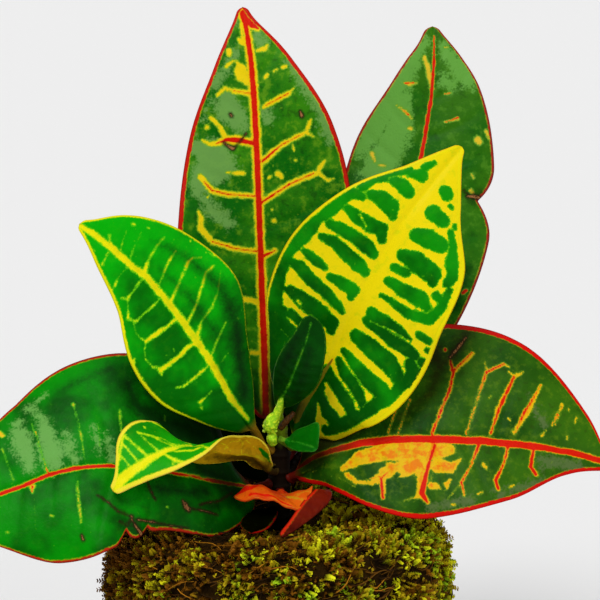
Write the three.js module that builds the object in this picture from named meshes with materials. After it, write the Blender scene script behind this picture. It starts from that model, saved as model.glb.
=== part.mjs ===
// Potted croton: a variegated croton in a moss-wrapped root ball, standing in a plain clay pot.
// Millimetres, +Z up. The origin is on the floor, under the middle of the pot.
import * as THREE from 'three';
import { mergeVertices } from 'three/addons/utils/BufferGeometryUtils.js';

// ---------------------------------------------------------------- driving dimensions

const GAP = 0.3;

const POT_HEIGHT = 70;
const POT_BASE_RADIUS = 44;
const POT_WALL_TOP_RADIUS = 53.5;
const POT_RIM_RADIUS = 59.5;
const POT_RIM_HEIGHT = 19;
const POT_WALL = 4.4;
const POT_FLOOR = 5.5;
const POT_SIDES = 40;

const MOSS_MOUTH_CLEARANCE = 0.5;
const MOSS_THICKNESS = 6;
const MOSS_RELIEF = 1.3;
const MOSS_SIDES = 40;
const MOSS_OPENING_RADIUS = 9;

const STEM_RADIUS = 4;
const STEM_FOOT_Z = 72;
const STEM_TOP_Z = 138.5;
const STEM_SIDES = 16;

const BLADE_THICKNESS = 0.8;
const PETIOLE_RADIUS = 1.5;
const RIB_TIP_RADIUS = 0.35;

// ---------------------------------------------------------------- leaves
//
// spine     the way of the petiole and midrib, from the stem to the tip
// petiole   the share of the spine that carries no blade
// face      which way the upper side looks, from the blade's foot to its tip
// widths    half-widths [left, right], foot to tip, at steps that crowd at both ends
// fold      how far the halves rise on both sides of the midrib, as a share of the half-width
// droop     how far the margins bend back again, as the same share
// wave      height, count and phase of the waves along the margins

const LEAVES = [
  {
    name: 'leaf_back_centre',
    color: 0x1f5a12,
    spine: [
      [-0.8, 4.7, 127], [-1.2, 7.5, 127.5], [-2.5, 11, 132], [-4.5, 14, 140.5], [-5.5, 20, 165],
      [-6, 26, 195.5], [-8, 34, 229.5], [-10.5, 42, 256.5], [-13, 50, 274.5],
    ],
    petiole: 0.08,
    face: [[0, -1, 0.15], [0, -1, 0.25], [0, -1, 0.35]],
    widths: [
      [1.5, 1.5], [7, 6], [20.5, 15], [29.5, 25.5], [28.5, 31.5], [23, 27], [12.5, 15],
      [4.2, 4], [0.8, 0.8],
    ],
    fold: 0.16,
    droop: 0.1,
    wave: { height: 1.6, count: 2.5, phase: 0.6 },
  },
  {
    name: 'leaf_back_right',
    color: 0x1c5210,
    spine: [
      [2.5, 4, 123.5], [4, 6.4, 124], [8, 11.5, 129], [19.5, 20, 144], [33.5, 30, 170],
      [44, 40, 200.5], [51.5, 52, 230.5], [55, 61, 254.5], [54.5, 66, 266],
    ],
    petiole: 0.11,
    face: [[-0.1, -1, 0.2], [-0.1, -1, 0.4], [0, -1, 0.5]],
    widths: [
      [1.5, 1.5], [8, 9], [17, 19.5], [23, 28.5], [24.5, 31], [23.5, 26.5], [14, 17.5], [5.5, 5],
      [0.8, 0.8],
    ],
    fold: 0.14,
    droop: 0.12,
    wave: { height: 2, count: 2, phase: 2.4 },
  },
  {
    name: 'leaf_front_right',
    color: 0x3d8a12,
    spine: [
      [4.6, -0.8, 129.2], [6, -1.6, 130.4], [6.6, -3, 137], [10.5, -6, 149.5], [19, -9, 165],
      [27.5, -12, 185], [40.5, -12, 207.5], [51, -8, 221], [61.5, -3, 233],
    ],
    petiole: 0.06,
    face: [[-0.4, -1, 0.25], [-0.2, -1, 0.25], [0.1, -1, 0.2]],
    widths: [
      [1.5, 1.5], [3, 12.5], [14, 26], [27, 31.5], [30.5, 31], [23.5, 27], [11, 13], [4, 3.5],
      [0.8, 0.8],
    ],
    fold: 0.14,
    droop: 0.12,
    wave: { height: 1.6, count: 2.5, phase: 4 },
  },
  {
    name: 'leaf_mid_left',
    color: 0x3a8a14,
    spine: [
      [-3.8, -2.4, 128.2], [-5.4, -3.8, 129], [-7.5, -8, 134.5], [-11, -12, 141.5], [-21.5, -17, 159],
      [-36, -22, 181], [-45, -25, 193], [-56, -28, 204.5], [-65, -29, 211.5],
    ],
    petiole: 0.13,
    face: [[0.15, -1, 0.3], [0.1, -1, 0.35], [0, -1, 0.4]],
    widths: [
      [1.5, 1.5], [7.5, 4], [15, 9.2], [21, 15], [20.5, 23.3], [13, 21], [8, 14.5], [3, 4.5],
      [0.8, 0.8],
    ],
    fold: 0.2,
    droop: 0.14,
    wave: { height: 1.4, count: 2, phase: 1.2 },
  },
  {
    name: 'leaf_low_left',
    color: 0x14560f,
    spine: [
      [-4.4, -2, 115], [-6.5, -4, 115], [-10, -8.5, 115.5], [-16, -14, 117.5], [-29, -23, 124],
      [-46, -30, 129.5], [-63, -33, 130.5], [-80.5, -35, 126], [-98.5, -36, 119.5],
      [-115.5, -36, 112],
    ],
    petiole: 0.065,
    face: [[0, -0.75, 0.65], [0, -0.8, 0.6], [0, -0.8, 0.6]],
    widths: [
      [1.5, 1.5], [10, 14], [19.5, 31], [20.5, 40], [30.5, 40], [28.5, 28.7], [15.5, 15], [6, 5.5],
      [0.8, 0.8],
    ],
    fold: 0.1,
    droop: 0.16,
    wave: { height: 1.8, count: 2.5, phase: 0 },
  },
  {
    name: 'leaf_low_right',
    color: 0x4a5a14,
    spine: [
      [4.6, -2.1, 118], [6.4, -3.2, 118.8], [8.8, -6, 122.5], [12.5, -8.5, 127.5], [25.5, -12, 132],
      [44.5, -14, 135.5], [64.5, -15, 135.5], [85, -15, 133.5], [100, -15, 130], [114, -15, 124.5],
    ],
    petiole: 0.06,
    face: [[0, -0.75, 0.65], [0, -0.8, 0.6], [0, -0.8, 0.6]],
    widths: [
      [1.5, 1.5], [11, 9.5], [28, 18], [37, 28], [43, 27.5], [34.5, 19], [17, 8], [4, 2.5],
      [0.8, 0.8],
    ],
    fold: 0.12,
    droop: 0.14,
    wave: { height: 1.8, count: 2.5, phase: 3 },
  },
  {
    name: 'leaf_twisted',
    color: 0x6aa018,
    spine: [
      [-2.3, -3.9, 121.5], [-3.2, -6, 122], [-5, -9.5, 125], [-9, -14, 130], [-17, -22, 133],
      [-24, -28, 136], [-30.5, -33, 137], [-36.5, -36, 136.5], [-43, -39, 134.5],
      [-48.5, -41, 130.5], [-54.5, -42, 124.5],
    ],
    petiole: 0.14,
    face: [
      [0, 0.9, 0.35], [0, 0.9, 0.4], [0, 0.75, 0.75], [0, -0.5, 0.85], [0, -0.75, 0.65],
      [0, -0.8, 0.6],
    ],
    widths: [[1.4, 1.4], [7, 5.5], [9, 6], [9, 12], [7.5, 14], [3.5, 4.5], [1, 1.2]],
    fold: 0.1,
    droop: 0.1,
    wave: { height: 0.6, count: 1, phase: 0 },
  },
  {
    name: 'leaf_young_centre',
    color: 0x135c10,
    spine: [
      [0, 0, 139.5], [0.1, -0.8, 141.2], [0.6, -4.5, 144.5], [2, -10.5, 149.5], [4.3, -15.5, 156],
      [7, -19, 164], [9.5, -21.5, 171.5], [10.5, -23, 179.5],
    ],
    petiole: 0.12,
    face: [[0.1, -1, 0.5], [0, -1, 0.3], [0, -1, 0.2]],
    widths: [[1.2, 1.2], [3.5, 4.5], [7, 9], [4.5, 6], [0.6, 0.6]],
    fold: 0.3,
    droop: 0.2,
    wave: { height: 0.4, count: 1.5, phase: 0 },
  },
  {
    name: 'leaf_young_right',
    color: 0x1f7a18,
    spine: [[1.8, -3.4, 131], [2.8, -5.4, 131.4], [5.2, -9.5, 132.6], [9, -13.5, 133], [13, -17, 132.5]],
    petiole: 0.16,
    face: [[-0.3, -0.7, 0.6], [-0.5, -0.8, 0.3]],
    widths: [[1, 1], [2.2, 1.4], [5, 2.8], [8, 1.6], [0.6, 0.6]],
    fold: 0.2,
    droop: 0.1,
    wave: { height: 0.2, count: 1, phase: 0 },
  },
  {
    name: 'leaf_crinkled',
    color: 0xc43c14,
    spine: [
      [0.4, -4.9, 112.8], [0.5, -7, 113.4], [0.8, -10.5, 114.6], [1.5, -15, 115.4], [3, -21, 116.4],
      [6.5, -27.5, 116.2],
    ],
    petiole: 0.2,
    face: [[0, -0.1, 1], [0, -0.2, 1]],
    widths: [[1.2, 1.2], [5, 8], [9.5, 16.5], [6, 6.5], [0.7, 0.7]],
    fold: 0.6,
    droop: 0.58,
    wave: { height: 2.6, count: 0.5, phase: -1 },
  },
  {
    name: 'leaf_low_red',
    color: 0x8c1a10,
    spine: [
      [3.4, -3.4, 110], [5, -5.2, 110.4], [11, -9.5, 111.5], [15, -14.5, 112.8], [15.5, -20.5, 113],
      [11.5, -26, 111.4], [6.5, -31.5, 109.8], [1, -38, 108.6],
    ],
    petiole: 0.3,
    face: [[0.3, -0.4, 0.9], [0.4, -0.5, 0.8], [0.5, -0.5, 0.7]],
    widths: [[1.2, 1.2], [1.5, 3.5], [1.2, 5.5], [1.2, 4], [0.6, 0.6]],
    fold: 0.1,
    droop: 0.1,
    wave: { height: 0.5, count: 1.5, phase: 1 },
  },
  {
    name: 'leaf_back_low',
    color: 0x14460c,
    spine: [
      [-0.5, 4.7, 112.5], [-1, 7.2, 112.6], [-3, 14, 113.5], [-7, 26, 120], [-12, 40, 131],
      [-16, 55, 141], [-19, 66, 146],
    ],
    petiole: 0.08,
    face: [[0, -0.3, 1], [0, -0.6, 0.8], [0, -0.5, 0.9]],
    widths: [
      [1.5, 1.5], [9, 8], [20, 15], [23, 21], [20, 20], [10, 10], [0.8, 0.8],
    ],
    fold: 0.14,
    droop: 0.12,
    wave: { height: 1.4, count: 2, phase: 1 },
  },
  {
    name: 'leaf_under',
    color: 0x2a4a12,
    spine: [
      [-1.3, -4.7, 107.5], [-2, -7.5, 107.7], [-4.5, -18, 110], [-6.5, -28, 110.5], [-8, -37, 109.5],
    ],
    petiole: 0.15,
    face: [[0, -0.2, 1], [0, -0.3, 1]],
    widths: [[1.2, 1.2], [3, 3], [5, 5], [3.5, 3.5], [0.6, 0.6]],
    fold: 0.15,
    droop: 0.1,
    wave: { height: 0.3, count: 1, phase: 0 },
  },
];

// ---------------------------------------------------------------- helpers

function makeMesh(name, geometry, color, roughness) {
  const material = new THREE.MeshStandardMaterial({ color, roughness, metalness: 0 });
  const mesh = new THREE.Mesh(geometry, material);
  mesh.name = name;
  return mesh;
}

// A closed [radius, height] profile turned round the Z axis.
function turned(profile, sides) {
  const points = profile.map(([radius, height]) => new THREE.Vector2(radius, height));
  const lathe = new THREE.LatheGeometry(points, sides);
  lathe.rotateX(Math.PI / 2);
  lathe.deleteAttribute('normal');
  lathe.deleteAttribute('uv');
  return mergeVertices(lathe, 1e-4);
}

function splineThrough(rows) {
  const points = rows.map((row) => new THREE.Vector3(...row));
  return new THREE.CatmullRomCurve3(points, false, 'catmullrom', 0.5);
}

// ---------------------------------------------------------------- pot

function makePot() {
  const rimZ = POT_HEIGHT - POT_RIM_HEIGHT;
  const mouth = POT_RIM_RADIUS - POT_WALL;
  const profile = [
    [0, 0],
    [POT_BASE_RADIUS - 1, 0],
    [POT_BASE_RADIUS, 1],
    [POT_WALL_TOP_RADIUS, rimZ],
    [POT_RIM_RADIUS - 1, rimZ],
    [POT_RIM_RADIUS, rimZ + 1],
    [POT_RIM_RADIUS, POT_HEIGHT - 1.2],
    [POT_RIM_RADIUS - 1.2, POT_HEIGHT],
    [mouth + 1, POT_HEIGHT],
    [mouth, POT_HEIGHT - 1],
    [mouth, rimZ + 4],
    [POT_WALL_TOP_RADIUS - POT_WALL, rimZ],
    [POT_BASE_RADIUS - POT_WALL + 1, POT_FLOOR + 1],
    [POT_BASE_RADIUS - POT_WALL, POT_FLOOR],
    [0, POT_FLOOR],
  ];
  return makeMesh('pot', turned(profile, POT_SIDES), 0xb5663f, 0.9);
}

// ---------------------------------------------------------------- moss and root ball

// The moss fills the pot's mouth, swells over the rim and narrows to its shoulder.
const MOSS_OUTER = [
  [POT_BASE_RADIUS - POT_WALL - MOSS_MOUTH_CLEARANCE, POT_FLOOR + GAP],
  [POT_WALL_TOP_RADIUS - POT_WALL - MOSS_MOUTH_CLEARANCE, POT_HEIGHT - POT_RIM_HEIGHT],
  [POT_RIM_RADIUS - POT_WALL - MOSS_MOUTH_CLEARANCE, POT_HEIGHT - POT_RIM_HEIGHT + 5],
  [POT_RIM_RADIUS - POT_WALL - MOSS_MOUTH_CLEARANCE, POT_HEIGHT],
  [57.5, 72],
  [58.5, 78],
  [58, 84],
  [57, 90],
  [55, 97],
  [52, 102],
  [46, 105.5],
  [38, 105.5],
  [28, 102.5],
  [17, 101],
  [MOSS_OPENING_RADIUS, 100.5],
];

// The inner face follows the outer one, a layer of moss further in.
const MOSS_INNER = [
  [MOSS_OPENING_RADIUS, 96],
  [28, 96.5],
  [40, 97.5],
  [45, 94],
  [48, 89],
  [51, 80],
  [51, 73],
  [POT_RIM_RADIUS - POT_WALL - MOSS_THICKNESS, POT_HEIGHT],
  [POT_RIM_RADIUS - POT_WALL - MOSS_THICKNESS - 2, POT_HEIGHT - POT_RIM_HEIGHT + 5],
  [POT_WALL_TOP_RADIUS - POT_WALL - MOSS_THICKNESS, POT_HEIGHT - POT_RIM_HEIGHT],
  [POT_BASE_RADIUS - POT_WALL - MOSS_THICKNESS, POT_FLOOR + GAP],
];

function mossRelief(angle, z) {
  const broad = Math.sin(3 * angle + 0.07 * z) + Math.sin(5 * angle - 0.11 * z + 2);
  const fine = Math.sin(11 * angle + 0.31 * z) * Math.sin(0.45 * z + 1);
  return MOSS_RELIEF * (0.35 * broad + 0.4 * fine);
}

function makeMoss() {
  const geometry = turned([...MOSS_OUTER, ...MOSS_INNER, MOSS_OUTER[0]], MOSS_SIDES);
  const position = geometry.getAttribute('position');
  const isOuter = (radius, z) => MOSS_OUTER.some((row) => Math.hypot(row[0] - radius, row[1] - z) < 0.01);
  for (let i = 0; i < position.count; i += 1) {
    const x = position.getX(i);
    const y = position.getY(i);
    const z = position.getZ(i);
    const radius = Math.hypot(x, y);
    if (z > POT_HEIGHT && isOuter(radius, z)) {
      const relief = mossRelief(Math.atan2(y, x), z);
      const outward = radius > MOSS_OPENING_RADIUS + 1 ? 1 + relief / radius : 1;
      position.setXYZ(i, x * outward, y * outward, z + 0.5 * relief);
    }
  }
  return makeMesh('moss_wrap', geometry, 0x5c6414, 1);
}

function makeRootBall() {
  const holeRadius = STEM_RADIUS + GAP;
  const outside = MOSS_INNER.slice(1).reverse().map(([radius, z]) => {
    return [radius - 1.6 * GAP, z > POT_HEIGHT ? z - GAP : z];
  });
  const topZ = outside.at(-1)[1];
  const profile = [
    [0, POT_FLOOR + GAP],
    ...outside,
    [holeRadius, topZ - 0.9],
    [holeRadius, STEM_FOOT_Z - GAP],
    [0, STEM_FOOT_Z - GAP],
  ];
  return makeMesh('root_ball', turned(profile, MOSS_SIDES), 0x2a1c10, 1);
}

// ---------------------------------------------------------------- stem

// Leaf scars ring the stem, and it ends in the pale growing tip.
const SCAR_HEIGHTS = [104, 110, 115, 120, 126];

function makeStem() {
  const profile = [
    [0, STEM_FOOT_Z],
    [STEM_RADIUS - 0.4, STEM_FOOT_Z],
    [STEM_RADIUS - 0.1, 98],
  ];
  for (const z of SCAR_HEIGHTS) {
    profile.push([STEM_RADIUS - 0.3, z - 1.2], [STEM_RADIUS + 0.1, z], [STEM_RADIUS - 0.3, z + 1]);
  }
  profile.push([3.6, 129], [3.1, 131.5], [2.7, 133.5], [2.9, 135], [2.2, 137.5], [1.4, STEM_TOP_Z]);
  profile.push([0, STEM_TOP_Z]);
  return makeMesh('stem', turned(profile, STEM_SIDES), 0x8a7a3c, 0.8);
}

// ---------------------------------------------------------------- leaf

const PETIOLE_RINGS = 4;
const COLUMN_SHARES = [0.33, 0.66, 1];

// The middle line and the frame of a leaf: way along, face and side.
function leafFrame(leaf) {
  const spine = splineThrough(leaf.spine);
  const faces = splineThrough(leaf.face);
  const widths = splineThrough(leaf.widths.map(([left, right]) => [left, right, 0]));
  return (reach) => {
    const along = Math.max(0, (reach - leaf.petiole) / (1 - leaf.petiole));
    const tangent = spine.getTangentAt(reach);
    const face = faces.getPoint(along);
    face.addScaledVector(tangent, -face.dot(tangent)).normalize();
    const side = new THREE.Vector3().crossVectors(tangent, face);
    const width = widths.getPoint(Math.acos(1 - 2 * along) / Math.PI);
    return { point: spine.getPointAt(reach), face, side, along, left: width.x, right: width.y };
  };
}

// Height of the blade's middle surface over the plane through the midrib.
function bladeRise(leaf, along, share, width) {
  const size = Math.abs(share);
  const cup = width * size * (leaf.fold - leaf.droop * size);
  const turn = 2 * Math.PI * leaf.wave.count * along + leaf.wave.phase + (share > 0 ? 1.3 : 0);
  return cup + leaf.wave.height * size * size * Math.sin(turn) * Math.sin(Math.PI * along);
}

function leafRing(leaf, frame, reach) {
  const { point, face, side, along, left, right } = frame(reach);
  const ribRadius = THREE.MathUtils.lerp(PETIOLE_RADIUS, RIB_TIP_RADIUS, reach);
  const shares = [];
  for (const [sign, width] of [[-1, left], [1, right]]) {
    const ribShare = Math.min(0.2, ribRadius / width);
    const half = [ribShare, ...COLUMN_SHARES].map((share) => sign * share);
    shares.push(...(sign < 0 ? half.reverse() : [0, ...half]));
  }
  const ring = { upper: [], lower: [] };
  for (const share of shares) {
    const width = share < 0 ? left : right;
    const across = share * width;
    const rise = along > 0 ? bladeRise(leaf, along, share, width) : 0;
    const rib = Math.sqrt(Math.max(0, ribRadius ** 2 - across ** 2));
    const roundTop = Math.max(0, 1 - 6 * along);
    const middle = point.clone().addScaledVector(side, across).addScaledVector(face, rise);
    ring.upper.push(middle.clone().addScaledVector(face, BLADE_THICKNESS / 2 + rib * roundTop));
    ring.lower.push(middle.clone().addScaledVector(face, -BLADE_THICKNESS / 2 - rib));
  }
  return ring;
}

// Both faces are split into triangles alike, and the margins and ends are closed.
function leafGeometry(leaf) {
  const frame = leafFrame(leaf);
  const bladeRings = leaf.widths.length > 6 ? 16 : 9;
  const reaches = [];
  for (let i = 0; i < PETIOLE_RINGS; i += 1) {
    reaches.push((leaf.petiole * i) / PETIOLE_RINGS);
  }
  for (let i = 0; i <= bladeRings; i += 1) {
    reaches.push(leaf.petiole + ((1 - leaf.petiole) * i) / bladeRings);
  }
  const rings = reaches.map((reach) => leafRing(leaf, frame, reach));
  const columns = rings[0].upper.length;
  const positions = [];
  for (const ring of rings) {
    for (const corner of [...ring.upper, ...ring.lower]) {
      positions.push(corner.x, corner.y, corner.z);
    }
  }
  const upper = (ring, column) => ring * columns * 2 + column;
  const lower = (ring, column) => upper(ring, column) + columns;
  const triangles = [];
  const quad = (a, b, c, d) => triangles.push(a, b, c, a, c, d);
  for (let r = 0; r + 1 < rings.length; r += 1) {
    for (let c = 0; c + 1 < columns; c += 1) {
      quad(upper(r, c), upper(r, c + 1), upper(r + 1, c + 1), upper(r + 1, c));
      triangles.push(lower(r, c), lower(r + 1, c + 1), lower(r, c + 1));
      triangles.push(lower(r, c), lower(r + 1, c), lower(r + 1, c + 1));
    }
    const last = columns - 1;
    quad(lower(r, 0), upper(r, 0), upper(r + 1, 0), lower(r + 1, 0));
    quad(upper(r, last), lower(r, last), lower(r + 1, last), upper(r + 1, last));
  }
  const tip = rings.length - 1;
  for (let c = 0; c + 1 < columns; c += 1) {
    quad(lower(0, c), lower(0, c + 1), upper(0, c + 1), upper(0, c));
    quad(upper(tip, c), upper(tip, c + 1), lower(tip, c + 1), lower(tip, c));
  }
  const geometry = new THREE.BufferGeometry();
  geometry.setAttribute('position', new THREE.Float32BufferAttribute(positions, 3));
  geometry.setIndex(triangles);
  return geometry;
}

// ---------------------------------------------------------------- assembly

const croton = new THREE.Group();
croton.add(makePot(), makeRootBall(), makeMoss(), makeStem());
for (const leaf of LEAVES) {
  croton.add(makeMesh(leaf.name, leafGeometry(leaf), leaf.color, 0.35));
}

export default croton;
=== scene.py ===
"""Looks of the potted croton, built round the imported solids.

Points of the leaves are in millimetres, as in the part's source. Veins and spots are placed by
their pixels in the 600 x 600 photograph and lie on the leaf that carries them.
"""

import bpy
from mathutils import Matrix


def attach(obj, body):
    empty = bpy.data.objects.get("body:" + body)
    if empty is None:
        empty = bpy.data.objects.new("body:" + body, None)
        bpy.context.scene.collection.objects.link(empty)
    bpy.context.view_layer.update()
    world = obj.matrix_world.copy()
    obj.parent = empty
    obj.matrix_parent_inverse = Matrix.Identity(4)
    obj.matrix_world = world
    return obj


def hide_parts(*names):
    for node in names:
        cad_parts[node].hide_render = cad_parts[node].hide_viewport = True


bl_info = {
    "name": "Potted Croton",
    "version": (1, 0, 0),
    "blender": (4, 5, 0),
    "location": "View3D > Sidebar > Croton",
    "description": "Builds a variegated croton with a moss-wrapped root ball in a clay pot",
    "category": "Add Mesh",
}

import math

import bmesh
import bpy
import numpy as np
from bpy.props import FloatProperty, FloatVectorProperty, IntProperty, PointerProperty
from mathutils import Matrix
from mathutils.kdtree import KDTree

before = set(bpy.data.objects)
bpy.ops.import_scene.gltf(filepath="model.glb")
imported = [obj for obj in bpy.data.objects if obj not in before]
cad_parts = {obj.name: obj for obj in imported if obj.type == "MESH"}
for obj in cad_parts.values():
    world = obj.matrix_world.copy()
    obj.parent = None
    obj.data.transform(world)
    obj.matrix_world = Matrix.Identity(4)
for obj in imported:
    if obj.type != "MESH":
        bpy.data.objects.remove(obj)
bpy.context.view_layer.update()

MM = 0.001

# ---------------------------------------------------------------- camera

PHOTO_SIZE = 600
VIEW_DOWN = math.radians(12)
VIEW_DISTANCE = 0.9
PIXEL_SIZE = 0.00034
VIEW_TARGET = np.array([0.00714, 0.0, 0.1799])
SENSOR_WIDTH = 36.0
FOCAL_PIXELS = VIEW_DISTANCE / PIXEL_SIZE

VIEW_AHEAD = np.array([0.0, math.cos(VIEW_DOWN), -math.sin(VIEW_DOWN)])
VIEW_UP = np.array([0.0, math.sin(VIEW_DOWN), math.cos(VIEW_DOWN)])
CAMERA_PLACE = VIEW_TARGET - VIEW_DISTANCE * VIEW_AHEAD


def photo_pixels(points):
    """Pixels of the photograph at which the points (metres) appear."""
    offset = points - CAMERA_PLACE
    depth = offset @ VIEW_AHEAD
    across = PHOTO_SIZE / 2 + FOCAL_PIXELS * offset[..., 0] / depth
    down = PHOTO_SIZE / 2 - FOCAL_PIXELS * (offset @ VIEW_UP) / depth
    return np.stack([across, down], axis=-1)


# ---------------------------------------------------------------- leaf shapes
#
# spine     way of the petiole and midrib, from the stem to the tip
# petiole   share of the spine that carries no blade
# face      which way the upper side looks, from the blade's foot to its tip
# widths    half-widths [left, right], foot to tip, at steps that crowd at both ends
# fold      how far the halves rise beside the midrib, as a share of the half-width
# droop     how far the margins bend back again, as the same share
# wave      height, count and phase of the waves along the margins
# crumple   height of the creases along a crinkled leaf, in millimetres
# nicks     tears in a margin: side, place along the blade, half-length, depth as shares

BLADE_THICKNESS = 0.8
PETIOLE_RADIUS = 1.5
RIB_TIP_RADIUS = 0.35
TIP_ROUNDING = 0.012  # share of the blade over which its outline closes at the tip
TIP_THINNING = 0.01  # share of the blade over which it thins at the tip
FOOT_SHARE = 0.03  # share of the blade that takes on the petiole's colour
MARGIN_SHIFT = 1.3  # radians between the waves of the two margins
SIDE_VEINS = 11  # on each side of the midrib
QUILT_HEIGHT = 0.3  # millimetres that the blade rises between its veins
QUILT_SLOPE = 1.8  # millimetres from a vein over which it rises
GROOVE_DEPTH = 0.35  # millimetres, over the midrib
GROOVE_WIDTH = 1.3
EDGE_PUSH = 0.6  # millimetres that push the edge line off a leaf without a rim
FAR = 99.0  # millimetres; stands for no marking near
JOIN = 0.2  # millimetres over which neighbouring markings flow together

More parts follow.
